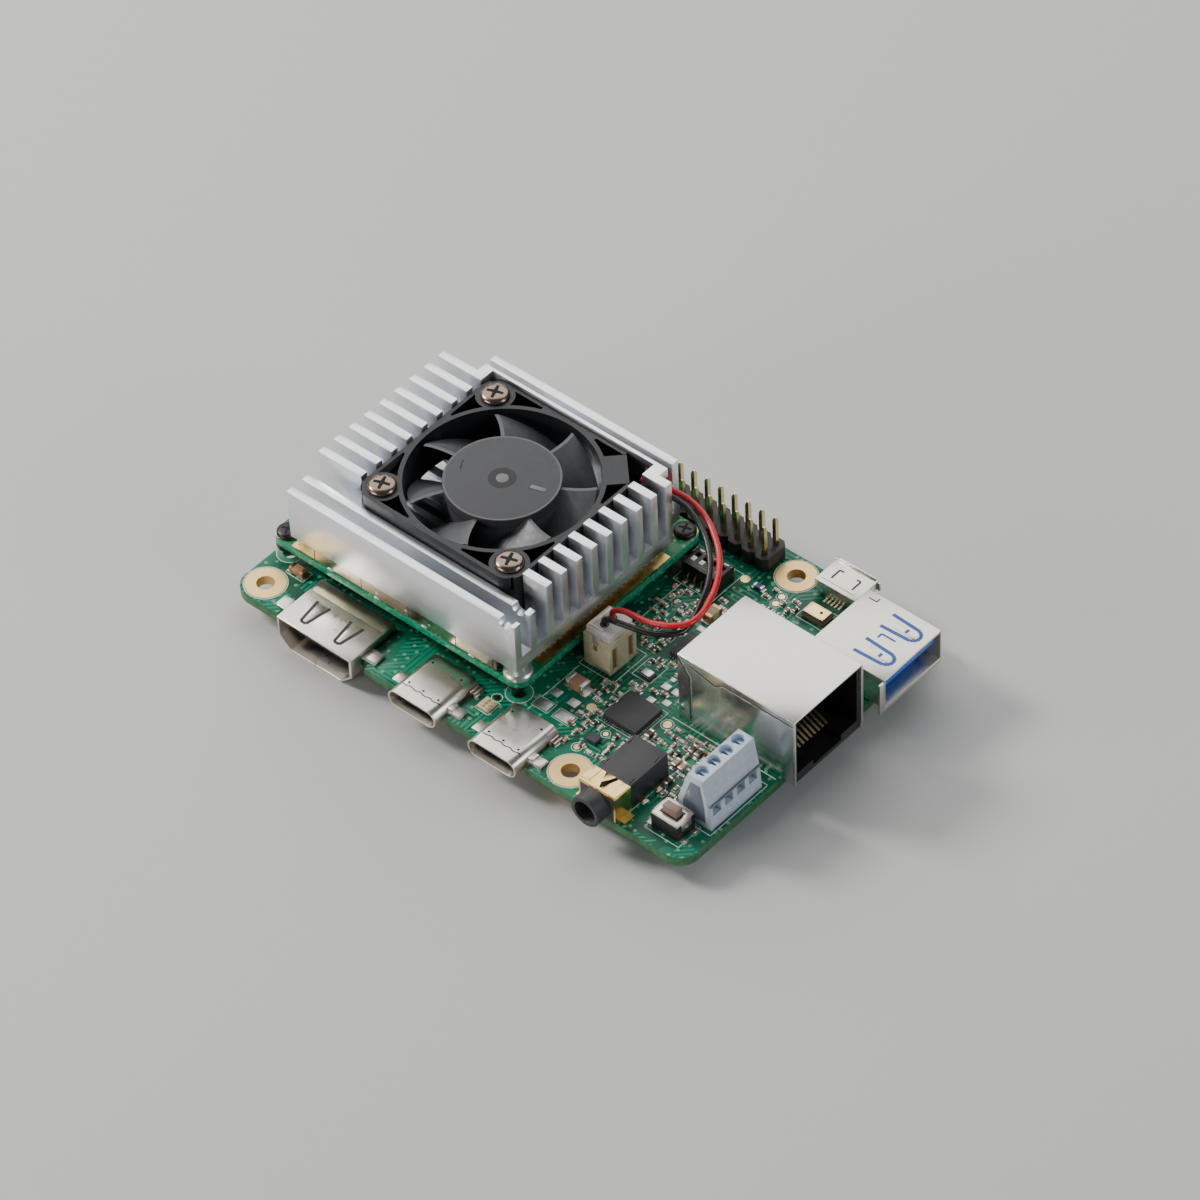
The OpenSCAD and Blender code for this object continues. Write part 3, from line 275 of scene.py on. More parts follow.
def solder_mask(name, deep, mid, light):
    """Green lacquer over copper: traces that change direction from cell to cell, and vias."""
    paint = Paint(name, mid, 0.30)
    cells = paint.node("ShaderNodeTexVoronoi", {"Scale": CELL_SCALE, "Vector": paint.scaled()},
                       voronoi_dimensions="2D", distance="CHEBYCHEV")
    pick = paint.node("ShaderNodeSeparateColor", {"Color": cells.outputs["Color"]})
    tracks = None
    for level, turn in ((0.0, 0), (0.4, 90), (0.75, 45)):
        bands = paint.node("ShaderNodeTexWave", {
            "Scale": TRACE_SCALE, "Distortion": 0.0, "Vector": paint.scaled(turn=turn)})
        line = paint.above(bands.outputs["Fac"], 0.62, 0.12)
        if tracks is None:
            tracks = line
        else:
            swap = paint.node("ShaderNodeMix", {
                "Factor": paint.above(pick.outputs["Red"], level), "A": tracks, "B": line})
            tracks = swap.outputs["Result"]
    routed = paint.above(pick.outputs["Green"], 0.45)
    tracks = paint.maths("MULTIPLY", tracks, routed)
    pour = paint.above(paint.noise(0.16, 2), 0.47)
    base = paint.mix(pour, deep, mid)
    lit = paint.mix(tracks, base, light)
    vias = paint.node("ShaderNodeTexVoronoi", {"Scale": VIA_SCALE, "Vector": paint.scaled()},
                      voronoi_dimensions="2D")
    dots = paint.above(vias.outputs["Distance"], 0.15, 0.02)
    paint.to_shader(paint.mix(dots, VIA_GREEN, lit), "Base Color")
    paint.bump(paint.maths("ADD", tracks, pour), 0.35, 0.03)
    paint.shader.inputs["Specular IOR Level"].default_value = MASK_SPECULAR
    return paint.material


# Name, then the deep, middle and light green, for the two boards
MASKS = (
    ("mask", (0.002, 0.095, 0.050), (0.003, 0.170, 0.090), (0.010, 0.30, 0.17)),
    ("module_mask", (0.004, 0.12, 0.05), (0.008, 0.21, 0.09), (0.02, 0.30, 0.13)),
)
# Name, colour, roughness and, where they differ from the usual, relief, patches and grain
METALS = (
    ("gold", (0.92, 0.66, 0.30), 0.50, 0.1), ("bright_gold", (0.90, 0.70, 0.34), 0.22),
    ("pin_gold", (0.62, 0.54, 0.30), 0.26, 0.15, 0.08, (1, 1, 0.2)),
    # solder is real solder on joints and tails, and painted highlight on the jack's folded edges
    # and the shield's dimples
    ("solder", (0.86, 0.86, 0.84), 0.28, 0.35), ("pad", (0.84, 0.83, 0.79), 0.45, 0.3),
    ("nickel", (0.74, 0.70, 0.63), 0.30, 0.10, 0.03),
    ("jack_steel", (0.72, 0.71, 0.67), 0.25, 0.05, 0.02),
    ("sink", (0.84, 0.86, 0.89), 0.34, 0.40, 0.03, (0.08, 1, 1)),
    ("shield", (0.66, 0.58, 0.44), 0.22, 0.2, 0.25, (0.3, 1, 1)),
    ("brass", (0.84, 0.62, 0.26), 0.24),
    ("copper", (0.72, 0.36, 0.18), 0.35, 0.6, 0.08, (1, 1, 6)),
    ("fan_screw", (0.27, 0.20, 0.16), 0.26), ("black_screw", (0.05, 0.05, 0.05), 0.40),
    ("terminal_screw", (0.55, 0.70, 0.82), 0.25),
    ("dull_nickel", (0.45, 0.40, 0.31), 0.38, 0.1, 0.1),
    ("white_metal", (0.88, 0.86, 0.80), 0.35), ("gold_dull", (0.62, 0.44, 0.18), 0.3, 0.2, 0.25),
)
# Name, colour, roughness and, where they differ from the usual, relief and patches
PLASTICS = (
    ("laminate", (0.035, 0.16, 0.06), 0.35, 0.5, 0.4),
    ("edge_mask", (0.01, 0.30, 0.16), 0.25, 0.2, 0.2),
    ("silk", (0.78, 0.82, 0.78), 0.6, 0.2, 0.06), ("black", (0.014, 0.014, 0.015), 0.42),
    ("grey", (0.040, 0.040, 0.044), 0.5), ("chip", (0.055, 0.053, 0.060), 0.50, 0.25),
    ("fan_frame", (0.012, 0.014, 0.018), 0.42, 0.15),
    # rotor is painted lighter than the plastic's own tone in rotor_cap: painted light on the blade
    # faces
    ("rotor", (0.095, 0.098, 0.105), 0.45, 0.25, 0.05),
    ("rotor_cap", (0.050, 0.052, 0.058), 0.55, 0.5, 0.05),
    ("header", (0.022, 0.022, 0.022), 0.48), ("cream", (0.80, 0.70, 0.48), 0.45, 0.15),
    ("white", (0.88, 0.87, 0.83), 0.42, 0.1, 0.04), ("blue", (0.01, 0.16, 0.80), 0.32),
    ("terminal", (0.58, 0.67, 0.76), 0.45), ("terminal_dark", (0.16, 0.19, 0.24), 0.45),
    ("brown_button", (0.26, 0.16, 0.14), 0.42), ("ceramic", (0.46, 0.23, 0.14), 0.5),
    ("ceramic_tan", (0.50, 0.38, 0.22), 0.5), ("resistor", (0.03, 0.03, 0.035), 0.4),
    ("part_blue", (0.02, 0.08, 0.35), 0.4), ("red_wire", (0.62, 0.012, 0.025), 0.30, 0.1, 0.05),
    ("black_wire", (0.016, 0.015, 0.015), 0.30, 0.1, 0.05),
    ("pad_rubber", (0.55, 0.50, 0.56), 0.8), ("magnet", (0.03, 0.03, 0.03), 0.6),
    ("rotor_edge", (0.16, 0.16, 0.17), 0.4), ("rotor_dark", (0.018, 0.019, 0.022), 0.6),
    # seam is painted shade, drawn in the seams and cut-outs of the sheet-metal parts
    ("seam", (0.05, 0.045, 0.04), 0.6), ("blue_cut", (0.01, 0.09, 0.42), 0.4),
    ("cream_dark", (0.30, 0.19, 0.09), 0.6), ("mask_light", (0.03, 0.30, 0.17), 0.35),
    ("ceramic_dark", (0.22, 0.11, 0.06), 0.5), ("lamp", (0.80, 0.66, 0.30), 0.3),
    # hole is painted shade: a near-black colour set in screw recesses, dimples, slots, gaps and
    # openings
    ("hole", (0.008, 0.008, 0.008), 0.9),
)


def make_materials():
    kinds = ((solder_mask, MASKS), (metal, METALS), (plastic, PLASTICS))
    return {look[0]: make(*look) for make, table in kinds for look in table}


# ---- mesh building

BEVEL_STEPS = 2
SMOOTH_ANGLE = 35
SOFTEN_ANGLE = 28
LINE_LIFT = 0.012
SILK_T = 0.02


def show(made, body, slot, *replaced):
    """Puts a finished object into the scene on its rigid body and hides the CAD nodes it replaces;
    the slot is not used.
    """
    bpy.context.scene.collection.objects.link(made)
    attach(made, body)
    if replaced:
        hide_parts(*replaced)


def smooth_object(name, data):
    """An object of this mesh, shaded smooth up to the limiting angle."""
    data.shade_smooth()
    data.set_sharp_from_angle(angle=math.radians(SMOOTH_ANGLE))
    return bpy.data.objects.new(name, data)


class Piece:
    """A mesh made of simple solids with rounded edges, in board millimetres."""

    def __init__(self, name, body="carrier"):
        self.name, self.body = name, body
        self.mesh = bmesh.new()
        self.materials = []

    def index(self, material):
        if material not in self.materials:
            self.materials.append(material)
        return self.materials.index(material)

    def solid(self, points, faces, material, bevel=0.0):
        verts = [self.mesh.verts.new(p) for p in points]
        made = [self.mesh.faces.new([verts[i] for i in f]) for f in faces]
        for face in made:
            face.material_index = self.index(material)
        if bevel > 0:
            edges = list({e for f in made for e in f.edges})
            bmesh.ops.bevel(self.mesh, geom=verts + edges, offset=bevel, segments=BEVEL_STEPS,
                            affect="EDGES", profile=0.5, clamp_overlap=True)

    def prism(self, outline, low, high, material, axis="z", bevel=0.0, turn=None):
        """An outline drawn out along an axis; turn is (angle, centre) about z."""
        def lift(a, b, c):
            return {"z": (a, b, c), "x": (c, a, b), "y": (a, c, b)}[axis]
        n = len(outline)
        points = [Vector(lift(a, b, c)) for c in (low, high) for a, b in outline]
        if turn:
            centre = Vector((*turn[1], 0))
            spin = Matrix.Rotation(math.radians(turn[0]), 3, "Z")
            points = [centre + spin @ (p - centre) for p in points]
        faces = [tuple(range(n))[::-1], tuple(range(n, 2 * n))]
        faces += [(i, (i + 1) % n, n + (i + 1) % n, n + i) for i in range(n)]
        self.solid(points, faces, material, bevel)

    def box(self, x, y, z, material, bevel=0.05, turn=None):
        """A block over three ranges; the x and y ranges may run either way."""
        (x0, x1), (y0, y1) = sorted(x), sorted(y)
        outline = [(x0, y0), (x1, y0), (x1, y1), (x0, y1)]
        self.prism(outline, z[0], z[1], material, "z", bevel, turn)

    def lathe(self, profile, centre, material, axis="z", sides=32):
        """Turns (radius, height) points about an axis through centre."""
        rings = []
        for r, h in profile:
            ring = []
            for k in range(sides if r > 0 else 1):
                a = 2 * math.pi * k / sides
                u, v = r * math.cos(a), r * math.sin(a)
                offset = {"z": (u, v, h), "x": (h, u, v), "y": (v, h, u)}[axis]
                ring.append(self.mesh.verts.new(Vector(centre) + Vector(offset)))
            rings.append(ring)
        for a, b in zip(rings, rings[1:]):
            for k in range(sides):
                corners = [a[k % len(a)], a[(k + 1) % len(a)], b[(k + 1) % len(b)], b[k % len(b)]]
                unique = list(dict.fromkeys(corners))
                if len(unique) > 2:
                    self.mesh.faces.new(unique).material_index = self.index(material)

    def tube(self, path, radius, material, sides=10):
        """A round rod along a path, closed at both ends."""
        path = [Vector(p) for p in path]
        side = None
        rings = []
        for i, p in enumerate(path):
            ahead = (path[min(i + 1, len(path) - 1)] - path[max(i - 1, 0)]).normalized()
            if side is None:
                side = ahead.orthogonal().normalized()
            side = (side - ahead * side.dot(ahead)).normalized()
            up = ahead.cross(side)
            rings.append([self.mesh.verts.new(p + radius * (math.cos(t) * side + math.sin(t) * up))
                          for t in (2 * math.pi * k / sides for k in range(sides))])
        for a, b in zip(rings, rings[1:]):
            for k in range(sides):
                face = (a[k], a[(k + 1) % sides], b[(k + 1) % sides], b[k])
                self.mesh.faces.new(face).material_index = self.index(material)
        self.mesh.faces.new(rings[0][::-1]).material_index = self.index(material)
        self.mesh.faces.new(rings[-1]).material_index = self.index(material)

    def finish(self, slot, *replaced):
        bmesh.ops.recalc_face_normals(self.mesh, faces=self.mesh.faces)
        data = bpy.data.meshes.new(self.name)
        self.mesh.to_mesh(data)
        self.mesh.free()
        data.transform(TO_FRAME)
        for material in self.materials:
            data.materials.append(LOOKS[material])
        show(smooth_object(self.name, data), self.body, slot, *replaced)


def slot_of(node):
    return next(s["material_slot"] for s in frame["record"]["subparts"] if s["node"] == node)


def keep(node, material):
    """Gives a carried-over CAD node its material."""
    data = frame["nodes"][node].data
    data.materials.clear()
    data.materials.append(LOOKS[material])


def soften(node, material, bevel, sides=None):
    """A copy of a CAD node with rounded edges, shown in its place. Upright faces may differ."""
    source = frame["nodes"][node]
    mesh = bmesh.new()
    mesh.from_mesh(source.data)
    bmesh.ops.remove_doubles(mesh, verts=mesh.verts, dist=0.002 * MM)
    bmesh.ops.dissolve_limit(mesh, angle_limit=math.radians(2), verts=mesh.verts, edges=mesh.edges)
    sharp = [e for e in mesh.edges
             if len(e.link_faces) == 2 and e.calc_face_angle(0) > math.radians(SOFTEN_ANGLE)]
    bmesh.ops.bevel(mesh, geom=sharp, offset=bevel * MM, segments=BEVEL_STEPS, affect="EDGES",
                    profile=0.5, clamp_overlap=True)
    data = bpy.data.meshes.new(node + "_finished")
    for face in mesh.faces:
        face.material_index = 1 if sides and abs(face.normal.z) < 0.5 else 0
    mesh.to_mesh(data)
    mesh.free()
    data.materials.append(LOOKS[material])
    if sides:
        data.materials.append(LOOKS[sides])
    show(smooth_object(node + "_finished", data), source["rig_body"], slot_of(node), node)


# ---- fan wires

WIRE_D = 0.9
PLUG_TOP = 7.2
RED_ROUTE = [
    (42.6, 41.0, 16.5), (44.4, 42.1, 15.8), (46.5, 43.2, 15.0), (48.6, 43.6, 14.7),
    (51.0, 43.4, 14.4), (53.8, 42.5, 14.0), (56.3, 41.0, 13.6), (58.5, 39.3, 13.1),
    (60.3, 37.2, 12.7), (61.7, 34.9, 12.2), (62.7, 32.3, 11.8), (63.2, 29.8, 11.3),
    (62.7, 27.8, 10.8), (61.2, 26.3, 10.5), (59.2, 25.5, 10.1), (57.1, 25.1, 9.7),
    (54.8, 25.1, 9.4), (52.9, 24.9, 9.2), (51.7, 24.6, 8.7), (51.3, 24.5, 8.0),
    (51.3, 24.5, PLUG_TOP),
]
BLACK_ROUTE = [
    (43.5, 40.0, 16.5), (45.4, 41.2, 15.7), (47.3, 42.2, 15.0), (49.5, 42.3, 14.7),
    (51.8, 41.8, 14.3), (53.6, 41.1, 13.9), (55.8, 39.8, 13.4), (57.8, 38.1, 12.9),
    (59.4, 36.3, 12.4), (60.6, 34.3, 11.8), (61.5, 31.9, 11.1), (62.2, 29.6, 10.3),
    (62.3, 27.6, 9.5), (61.5, 26.0, 9.3), (60.0, 24.8, 9.2), (58.0, 23.9, 9.1),
    (55.8, 23.3, 9.1), (53.6, 22.9, 9.0), (52.0, 22.8, 8.6), (51.3, 22.8, 8.0),
    (51.3, 22.8, PLUG_TOP),
]


def make_wire(name, route, node, material):
    points = [place(*p) for p in route]
    curve = bpy.data.curves.new(name, "CURVE")
    curve.dimensions = "3D"
    curve.bevel_depth = WIRE_D * MM / 2
    curve.bevel_resolution = 5
    curve.resolution_u = 6
    spline = curve.splines.new("BEZIER")
    spline.bezier_points.add(len(points) - 1)
    for bezier, p in zip(spline.bezier_points, points):
        bezier.co = p
        bezier.handle_left_type = bezier.handle_right_type = "AUTO"
    curve.materials.append(LOOKS[material])
    wire = bpy.data.objects.new(name, curve)
    show(wire, "carrier", slot_of(node), node)


make_camera()
make_light()
make_floor()
LOOKS = make_materials()
make_wire("red_fan_wire", RED_ROUTE, "fan_wire_red", "red_wire")
make_wire("black_fan_wire", BLACK_ROUTE, "fan_wire_black", "black_wire")

# ---- CAD nodes

for material, nodes in {
    "black": ("network_jack_housing", "video_socket_tongue", "type_c_socket_tongues",
              "module_connectors", "camera_latch", "display_latch"),
    "nickel": ("terminal_clamp_1", "terminal_clamp_2", "terminal_clamp_3", "terminal_clamp_4",
               "reset_dome", "fan_shaft", "card_slot"),
    "cream": ("console_socket_insert", "flat_cable_connectors"),
    "brass": ("fan_bearing", "audio_jack_bracket"), "gold": ("mounting_hole_plating",),
    "bright_gold": ("network_jack_contacts",), "chip": ("module_chips",),
    "pad_rubber": ("thermal_pads",), "copper": ("fan_stator",), "magnet": ("fan_magnet",),
    # The rotor gets the lighter plastic, painted light on its blades
    "black_screw": ("module_nuts",), "rotor": ("fan_rotor",), "shield": ("module_shield",),
}.items():
    for node in nodes:
        keep(node, material)

# Node, material, edge radius and, where they differ, the material of its upright faces
SOFTENED = (
    ("main_board", "mask", 0.12, "laminate"), ("module_board", "module_mask", 0.10, "edge_mask"),
    ("heat_sink", "sink", 0.12), ("fan_frame", "fan_frame", 0.12),
    ("pin_header_body", "header", 0.08), ("network_jack_shell", "jack_steel", 0.10),
    ("host_socket_shell", "nickel", 0.10), ("host_socket_tongue", "blue", 0.08),
    ("console_socket_shell", "nickel", 0.06), ("video_socket_shell", "nickel", 0.12),
    ("type_c_socket_shells", "nickel", 0.08), ("audio_jack_body", "grey", 0.15),
    ("speaker_terminal_housing", "terminal", 0.12), ("reset_switch_body", "black", 0.08),
    ("reset_switch_cover", "nickel", 0.06), ("reset_button", "brown_button", 0.12),
    ("boot_switch_body", "black", 0.08), ("fan_header", "cream", 0.12), ("fan_plug", "white", 0.12),
)
for node, *finish in SOFTENED:
    soften(node, *finish)
for way in range(1, 5):
    soften(f"boot_slider_{way}", "white", 0.06)
    soften(f"terminal_screw_{way}", "terminal_screw", 0.06)

# ---- fan and its screws

FAN_MID = (28.8, 27.25)
FAN_TOP = 18.6
FAN_SCREWS = ((-1, -1), (-1, 1), (1, -1))
FAN_SCREW_OFFSET = 12
# Radius and height of a screw's head, and the width of its cross
FAN_HEAD = (2.15, 0.83, 2.5)
MODULE_HEAD = (1.75, 0.8, 1.9)
HUB_R = 8.5
RECESS_TURN = 20
MARK_TURN = 17


def pan_head(piece, centre, z, head, material):
    """A domed screw head with its cross recess drawn as four arms of painted shade in its top."""
    radius, height, recess = head
    profile = [(0, 0), (radius * 0.96, 0), (radius, height * 0.25), (radius * 0.97, height * 0.5),
               (radius * 0.86, height * 0.76), (radius * 0.66, height * 0.92),
               (radius * 0.3, height), (0, height)]
    piece.lathe(profile, (*centre, z), material, sides=40)
    half, wide, narrow = recess * 0.25, recess * 0.13, recess * 0.08
    for k in range(4):
        turn = RECESS_TURN + 90 * k
        a = math.radians(turn)
        x = centre[0] + recess * 0.26 * math.cos(a)
        y = centre[1] + recess * 0.26 * math.sin(a)
        arm = [(x - half, y - wide), (x + half, y - narrow),
               (x + half, y + narrow), (x - half, y + wide)]
        top = z + height + 0.008 + k * 0.001
        piece.prism(arm, z + height - 0.3, top, "hole", turn=(turn, (x, y)))


def make_fan():
    mid_x, mid_y = FAN_MID
    screws = Piece("fan_screws_finished")
    for sx, sy in FAN_SCREWS:
        centre = (mid_x + sx * FAN_SCREW_OFFSET, mid_y + sy * FAN_SCREW_OFFSET)
        pan_head(screws, centre, FAN_TOP, FAN_HEAD, "fan_screw")
        screws.lathe([(1, 8.9), (1, FAN_TOP)], (*centre, 0), "fan_screw", sides=20)
    screws.finish(slot_of("fan_screws"), "fan_screws")

    # Raised nub in a shallow dish, a short bar and a hook mark on the hub's top: painted highlight
    # on the nub and the bar, painted shade in the dish, beside the bar and in the hook mark
    hub = Piece("hub_marks", "fan_rotor")
    top = FAN_TOP
    middle = (mid_x, mid_y, top)
    # A cap in the plastic's own darker tone over the hub's top, where the rest of the rotor is
    # painted lighter
    cap = [(HUB_R, -2), (HUB_R + 0.02, -0.2), (HUB_R - 0.1, -0.03), (HUB_R - 0.35, 0.01), (0, 0.01)]
    hub.lathe(cap, middle, "rotor_cap", sides=96)
    hub.lathe([(2.1, 0.008), (1.95, 0.016), (0.9, 0.013)], middle, "rotor_dark", sides=48)
    nub = [(1.0, 0.01), (0.55, 0.018), (0.45, 0.05), (0, 0.06)]
    hub.lathe(nub, middle, "rotor_edge", sides=32)
    hub.box((mid_x + 4.4, mid_x + 6.7), (mid_y - 0.35, mid_y + 0.35), (top - 0.02, top + 0.03),
            "rotor_edge", 0.01, (MARK_TURN, FAN_MID))
    hub.box((mid_x + 4.3, mid_x + 6.8), (mid_y - 0.5, mid_y - 0.3), (top - 0.02, top + 0.02),
            "rotor_dark", 0, (MARK_TURN, FAN_MID))
    for k in range(5):
        turns = math.radians(186 + 3.2 * k), math.radians(189.2 + 3.2 * k)
        r = 6.7 - 0.1 * k
        hub.tube([(mid_x + r * math.cos(t), mid_y + r * math.sin(t), top) for t in turns],
                 0.06, "rotor_dark", 6)
    hub.finish("rotor_plastic")


# ---- network jack

JACK_X = (66.4, 87.6)
JACK_Y = (20.95, 35.6)
JACK_TOP = 12.65


def groove(piece, axis, level, points, width, material="seam", lift=LINE_LIFT):
    """A narrow line on a face at a level; lift is negative on a face that looks down its axis."""
    for (a0, b0), (a1, b1) in zip(points, points[1:]):
        length = math.hypot(a1 - a0, b1 - b0)
        da, db = (b1 - b0) / length * width / 2, -(a1 - a0) / length * width / 2
        outline = [(a0 - da, b0 - db), (a1 - da, b1 - db), (a1 + da, b1 + db), (a0 + da, b0 + db)]
        low, high = sorted((level - lift * 0.5, level + lift))
        piece.prism(outline, low, high, material, axis)


def make_jack():
    """Seams and a slot in a small flap drawn in painted shade, folded lips, and painted highlights
    on the folded edges of the network jack.
    """
    y0, y1 = JACK_Y
    seams = Piece("jack_seams")
    # Painted shade along the seam of the folded end wall and under the long flap at the roof's edge
    groove(seams, "y", y0, [(66.5, 12.25), (68.6, 9.3), (68.6, 0.7)], 0.38, lift=-LINE_LIFT)
    groove(seams, "y", y0, [(68.7, 11.6), (73.2, 10.5), (74.6, 11.6), (87.3, 11.6)], 0.3,
           lift=-LINE_LIFT)
    groove(seams, "y", y0, [(68.7, 11.85), (73.4, 10.75), (74.8, 11.85)], 0.05, "nickel", -0.02)
    groove(seams, "y", y0, [(74.6, 12.1), (87.4, 12.1)], 0.1, lift=-LINE_LIFT)
    groove(seams, "y", y1, [(68.6, 12.2), (68.6, 0.7)], 0.16)
    groove(seams, "y", y1, [(68.7, 11.6), (87.3, 11.6)], 0.13)
    groove(seams, "x", JACK_X[0], [(y0 + 0.5, 3.2), (y1 - 0.5, 3.2)], 0.14, lift=-LINE_LIFT)
    seams.finish("socket_steel")

    flaps = Piece("jack_flaps")
    flaps.box((66.9, 67.7), (y0 - 0.06, y0 + 0.05), (1.6, 2.8), "jack_steel", 0.04)
    # A slot in the flap in painted shade
    flaps.box((67.1, 67.5), (y0 - 0.075, y0), (1.9, 2.5), "seam", 0.02)
    # Folded lips round the mouth
    for y in ((y0 - 0.09, y0 + 0.04), (y1 - 0.04, y1 + 0.09)):
        flaps.box((87.25, 87.6), y, (0.1, JACK_TOP - 0.5), "jack_steel", 0.04)
    # Painted highlights on the folded edges beside the seams and along the mouth's top, drawn as
    # rods of the bright solder metal
    y = y0 - 0.01
    for path in ([(66.7, y, 12.3), (68.85, y, 9.35), (68.85, y, 0.8)],
                 [(68.7, y, 11.4), (73.2, y, 10.3), (74.7, y, 11.4), (87.2, y, 11.4)],
                 [(87.55, y0 + 0.05, JACK_TOP - 0.02), (87.55, y1 - 0.05, JACK_TOP - 0.02)]):
        flaps.tube(path, 0.05, "solder", 6)
    flaps.finish("socket_steel")


# ---- edge sockets

VIDEO_TOP = 1.4
TYPE_C_TOP = 1.6
HOST_TOP = 6.4
CONSOLE_X = 69.1
CONSOLE_TOP = 2.6


def make_springs():
    """Cut-out springs and tabs of the metal sockets, with painted shade in their slots, seams, cuts
    and dimples.
    """
    marks = Piece("socket_cuts")
    tabs = Piece("socket_springs")
    # Video socket: two tapered springs behind V-shaped slots of painted shade
    top = VIDEO_TOP
    for x in (14.05, 20.5):
        slot = [(x - 1.2, 4.6), (x - 0.5, 0.2), (x + 0.5, 0.2), (x + 1.2, 4.6)]
        groove(marks, "z", top, slot, 0.5)
        spring = [(x - 0.9, 4.5), (x - 0.3, 0.5), (x + 0.3, 0.5), (x + 0.9, 4.5)]
        tabs.prism(spring, top - 0.05, top + 0.03, "nickel", bevel=0.02)
    groove(marks, "z", top, [(10.6, 5.75), (24.1, 5.75)], 0.05)
    groove(marks, "z", top, [(10.4, 7.7), (24.3, 7.7)], 0.05)
    tabs.box((10.6, 24.1), (5.8, 7.65), (top - 0.05, top + 0.02), "dull_nickel", 0.02)
    groove(marks, "y", -1.3, [(17.35, -3.2), (17.35, -4.3)], 0.1, lift=-LINE_LIFT)
    # Type C sockets: interlocking front seam and dimples in painted shade, and a stepped rear edge
    for x in (36.5, 51.5):
        path = [(x - 3.3, 0.2)]
        for k in range(8):
            u, y = x - 3.0 + k * 0.86, 0.2 + 0.16 * (k % 2)
            path += [(u, y), (u + 0.6, y)]
        groove(marks, "z", TYPE_C_TOP, path, 0.2)
        for dx, y in ((-2.7, 5.8), (2.7, 5.8), (-2.7, 0.85), (0, 0.85), (2.8, 0.85)):
            dimple = (x + dx, y, TYPE_C_TOP)
            marks.lathe([(0.2, 0), (0.18, 0.012), (0, 0.014)], dimple, "hole", sides=14)
        tabs.box((x + 4.3, x + 6.6), (0.9, 2.6), (0.3, 0.52), "nickel", 0.08)
        tabs.box((x + 4.35, x + 5.2), (1.0, 2.5), (0.5, 0.9), "nickel", 0.12)
        tabs.box((x - 5.9, x - 4.35), (0.9, 2.6), (0.3, 0.5), "nickel", 0.08)
        for dx in (-2.9, 0.1, 2.7):
            tabs.box((x + dx - 0.5, x + dx + 0.5), (7.2, 7.75), (0.02, 1.1), "nickel", 0.1)
    # Host socket: two long springs cut out of its roof, and small cuts beside them; the cuts are
    # painted shade, darker blue where the tongue shows through
    top = HOST_TOP
    for y in (43.1, 49.05):
        slot = [(80.9, y - 1.4), (86.0, y - 1.15), (86.8, y - 0.5), (86.8, y + 0.5),
                (86.0, y + 1.15), (80.9, y + 1.4)]
        groove(marks, "z", top, slot, 0.6, "blue_cut")
        tabs.box((82.4, 86.3), (y - 0.62, y + 0.62), (top - 0.05, top + 0.06), "nickel", 0.04)
        groove(marks, "z", top + 0.06, [(84.6, y - 0.4), (84.6, y + 0.4)], 0.5, "blue_cut")
    groove(marks, "z", top, [(76.2, 50.9), (77.6, 50.9), (77.6, 51.6)], 0.22)
    groove(marks, "z", top, [(82.1, 45.6), (82.1, 46.5), (84.6, 46.5)], 0.34, "blue_cut")
    marks.finish("socket_steel")
    # Console socket: cut-outs in its roof in painted shade, flared lips at its mouth, folded feet
    cuts = Piece("console_cuts")
    for dx in (-1.9, 1.9):
        x = CONSOLE_X + dx
        groove(cuts, "z", CONSOLE_TOP, [(x, 53.4), (x, 55.4)], 0.34)
        groove(cuts, "z", CONSOLE_TOP, [(x, 55.4), (CONSOLE_X + dx * 0.6, 55.4)], 0.3)
    groove(cuts, "z", CONSOLE_TOP, [(66.2, 52.7), (72.0, 52.7)], 0.1)
    cuts.finish("socket_steel")
    tabs.box((65.7, 72.5), (56.95, 57.25), (2.5, 2.85), "nickel", 0.08)
    for s in (-1, 1):
        for near, far, y, z, bevel in ((3.6, 4.1, (56.9, 57.25), (0.9, 2.4), 0.08),
                                       (3.6, 4.6, (52.8, 54.6), (0.2, 0.5), 0.1),
                                       (3.4, 3.72, (53, 54.4), (0.3, 2.2), 0.08)):
            x = (CONSOLE_X + s * near, CONSOLE_X + s * far)
            tabs.box(x, y, z, "nickel", bevel)
    # Solder tabs on both sides of the video socket
    tabs.box((24.7, 26.8), (1.2, 3.3), (0.33, 0.55), "nickel", 0.1)
    tabs.box((7.7, 10), (1.2, 3.3), (0.33, 0.5), "nickel", 0.1)
    tabs.finish("socket_steel")


# ---- switches, terminal and pins

PITCH = 2.54
PIN_FOOT, PIN_TIP = -3.2, 7.8
PIN_HALF = 0.32


def joint_cone(piece, x, y, profile):
    """A solder cone under the board, round a lead's tail."""
    piece.lathe(profile, (x, y, -BOARD_T), "solder", sides=12)


def make_pins():
    """Pin tips with chamfered ends, and the solder cones round their tails."""
    pins = Piece("header_pins_finished")
    half = PIN_HALF
    rings = ((half * 0.45, PIN_FOOT), (half, PIN_FOOT + 0.4), (half, PIN_TIP - 0.45),
             (half * 0.4, PIN_TIP))
    faces = [(a, b, b + 4, a + 4) for k in range(3) for a, b in
             ((4 * k + m, 4 * k + (m + 1) % 4) for m in range(4))]
    faces += [(3, 2, 1, 0), (12, 13, 14, 15)]
    for i in range(20):
        for j in (-0.5, 0.5):
            x, y = 32.5 + (i - 9.5) * PITCH, 52.5 + j * PITCH
            points = [(x + u * r, y + v * r, z) for r, z in rings
                      for u, v in ((-1, -1), (1, -1), (1, 1), (-1, 1))]
            pins.solid(points, faces, "pin_gold")
            joint_cone(pins, x, y, [(0.85, 0), (0.55, -0.25), (0.38, -0.8), (0.33, -1.2)])
    pins.finish(slot_of("pin_header_pins"), "pin_header_pins")


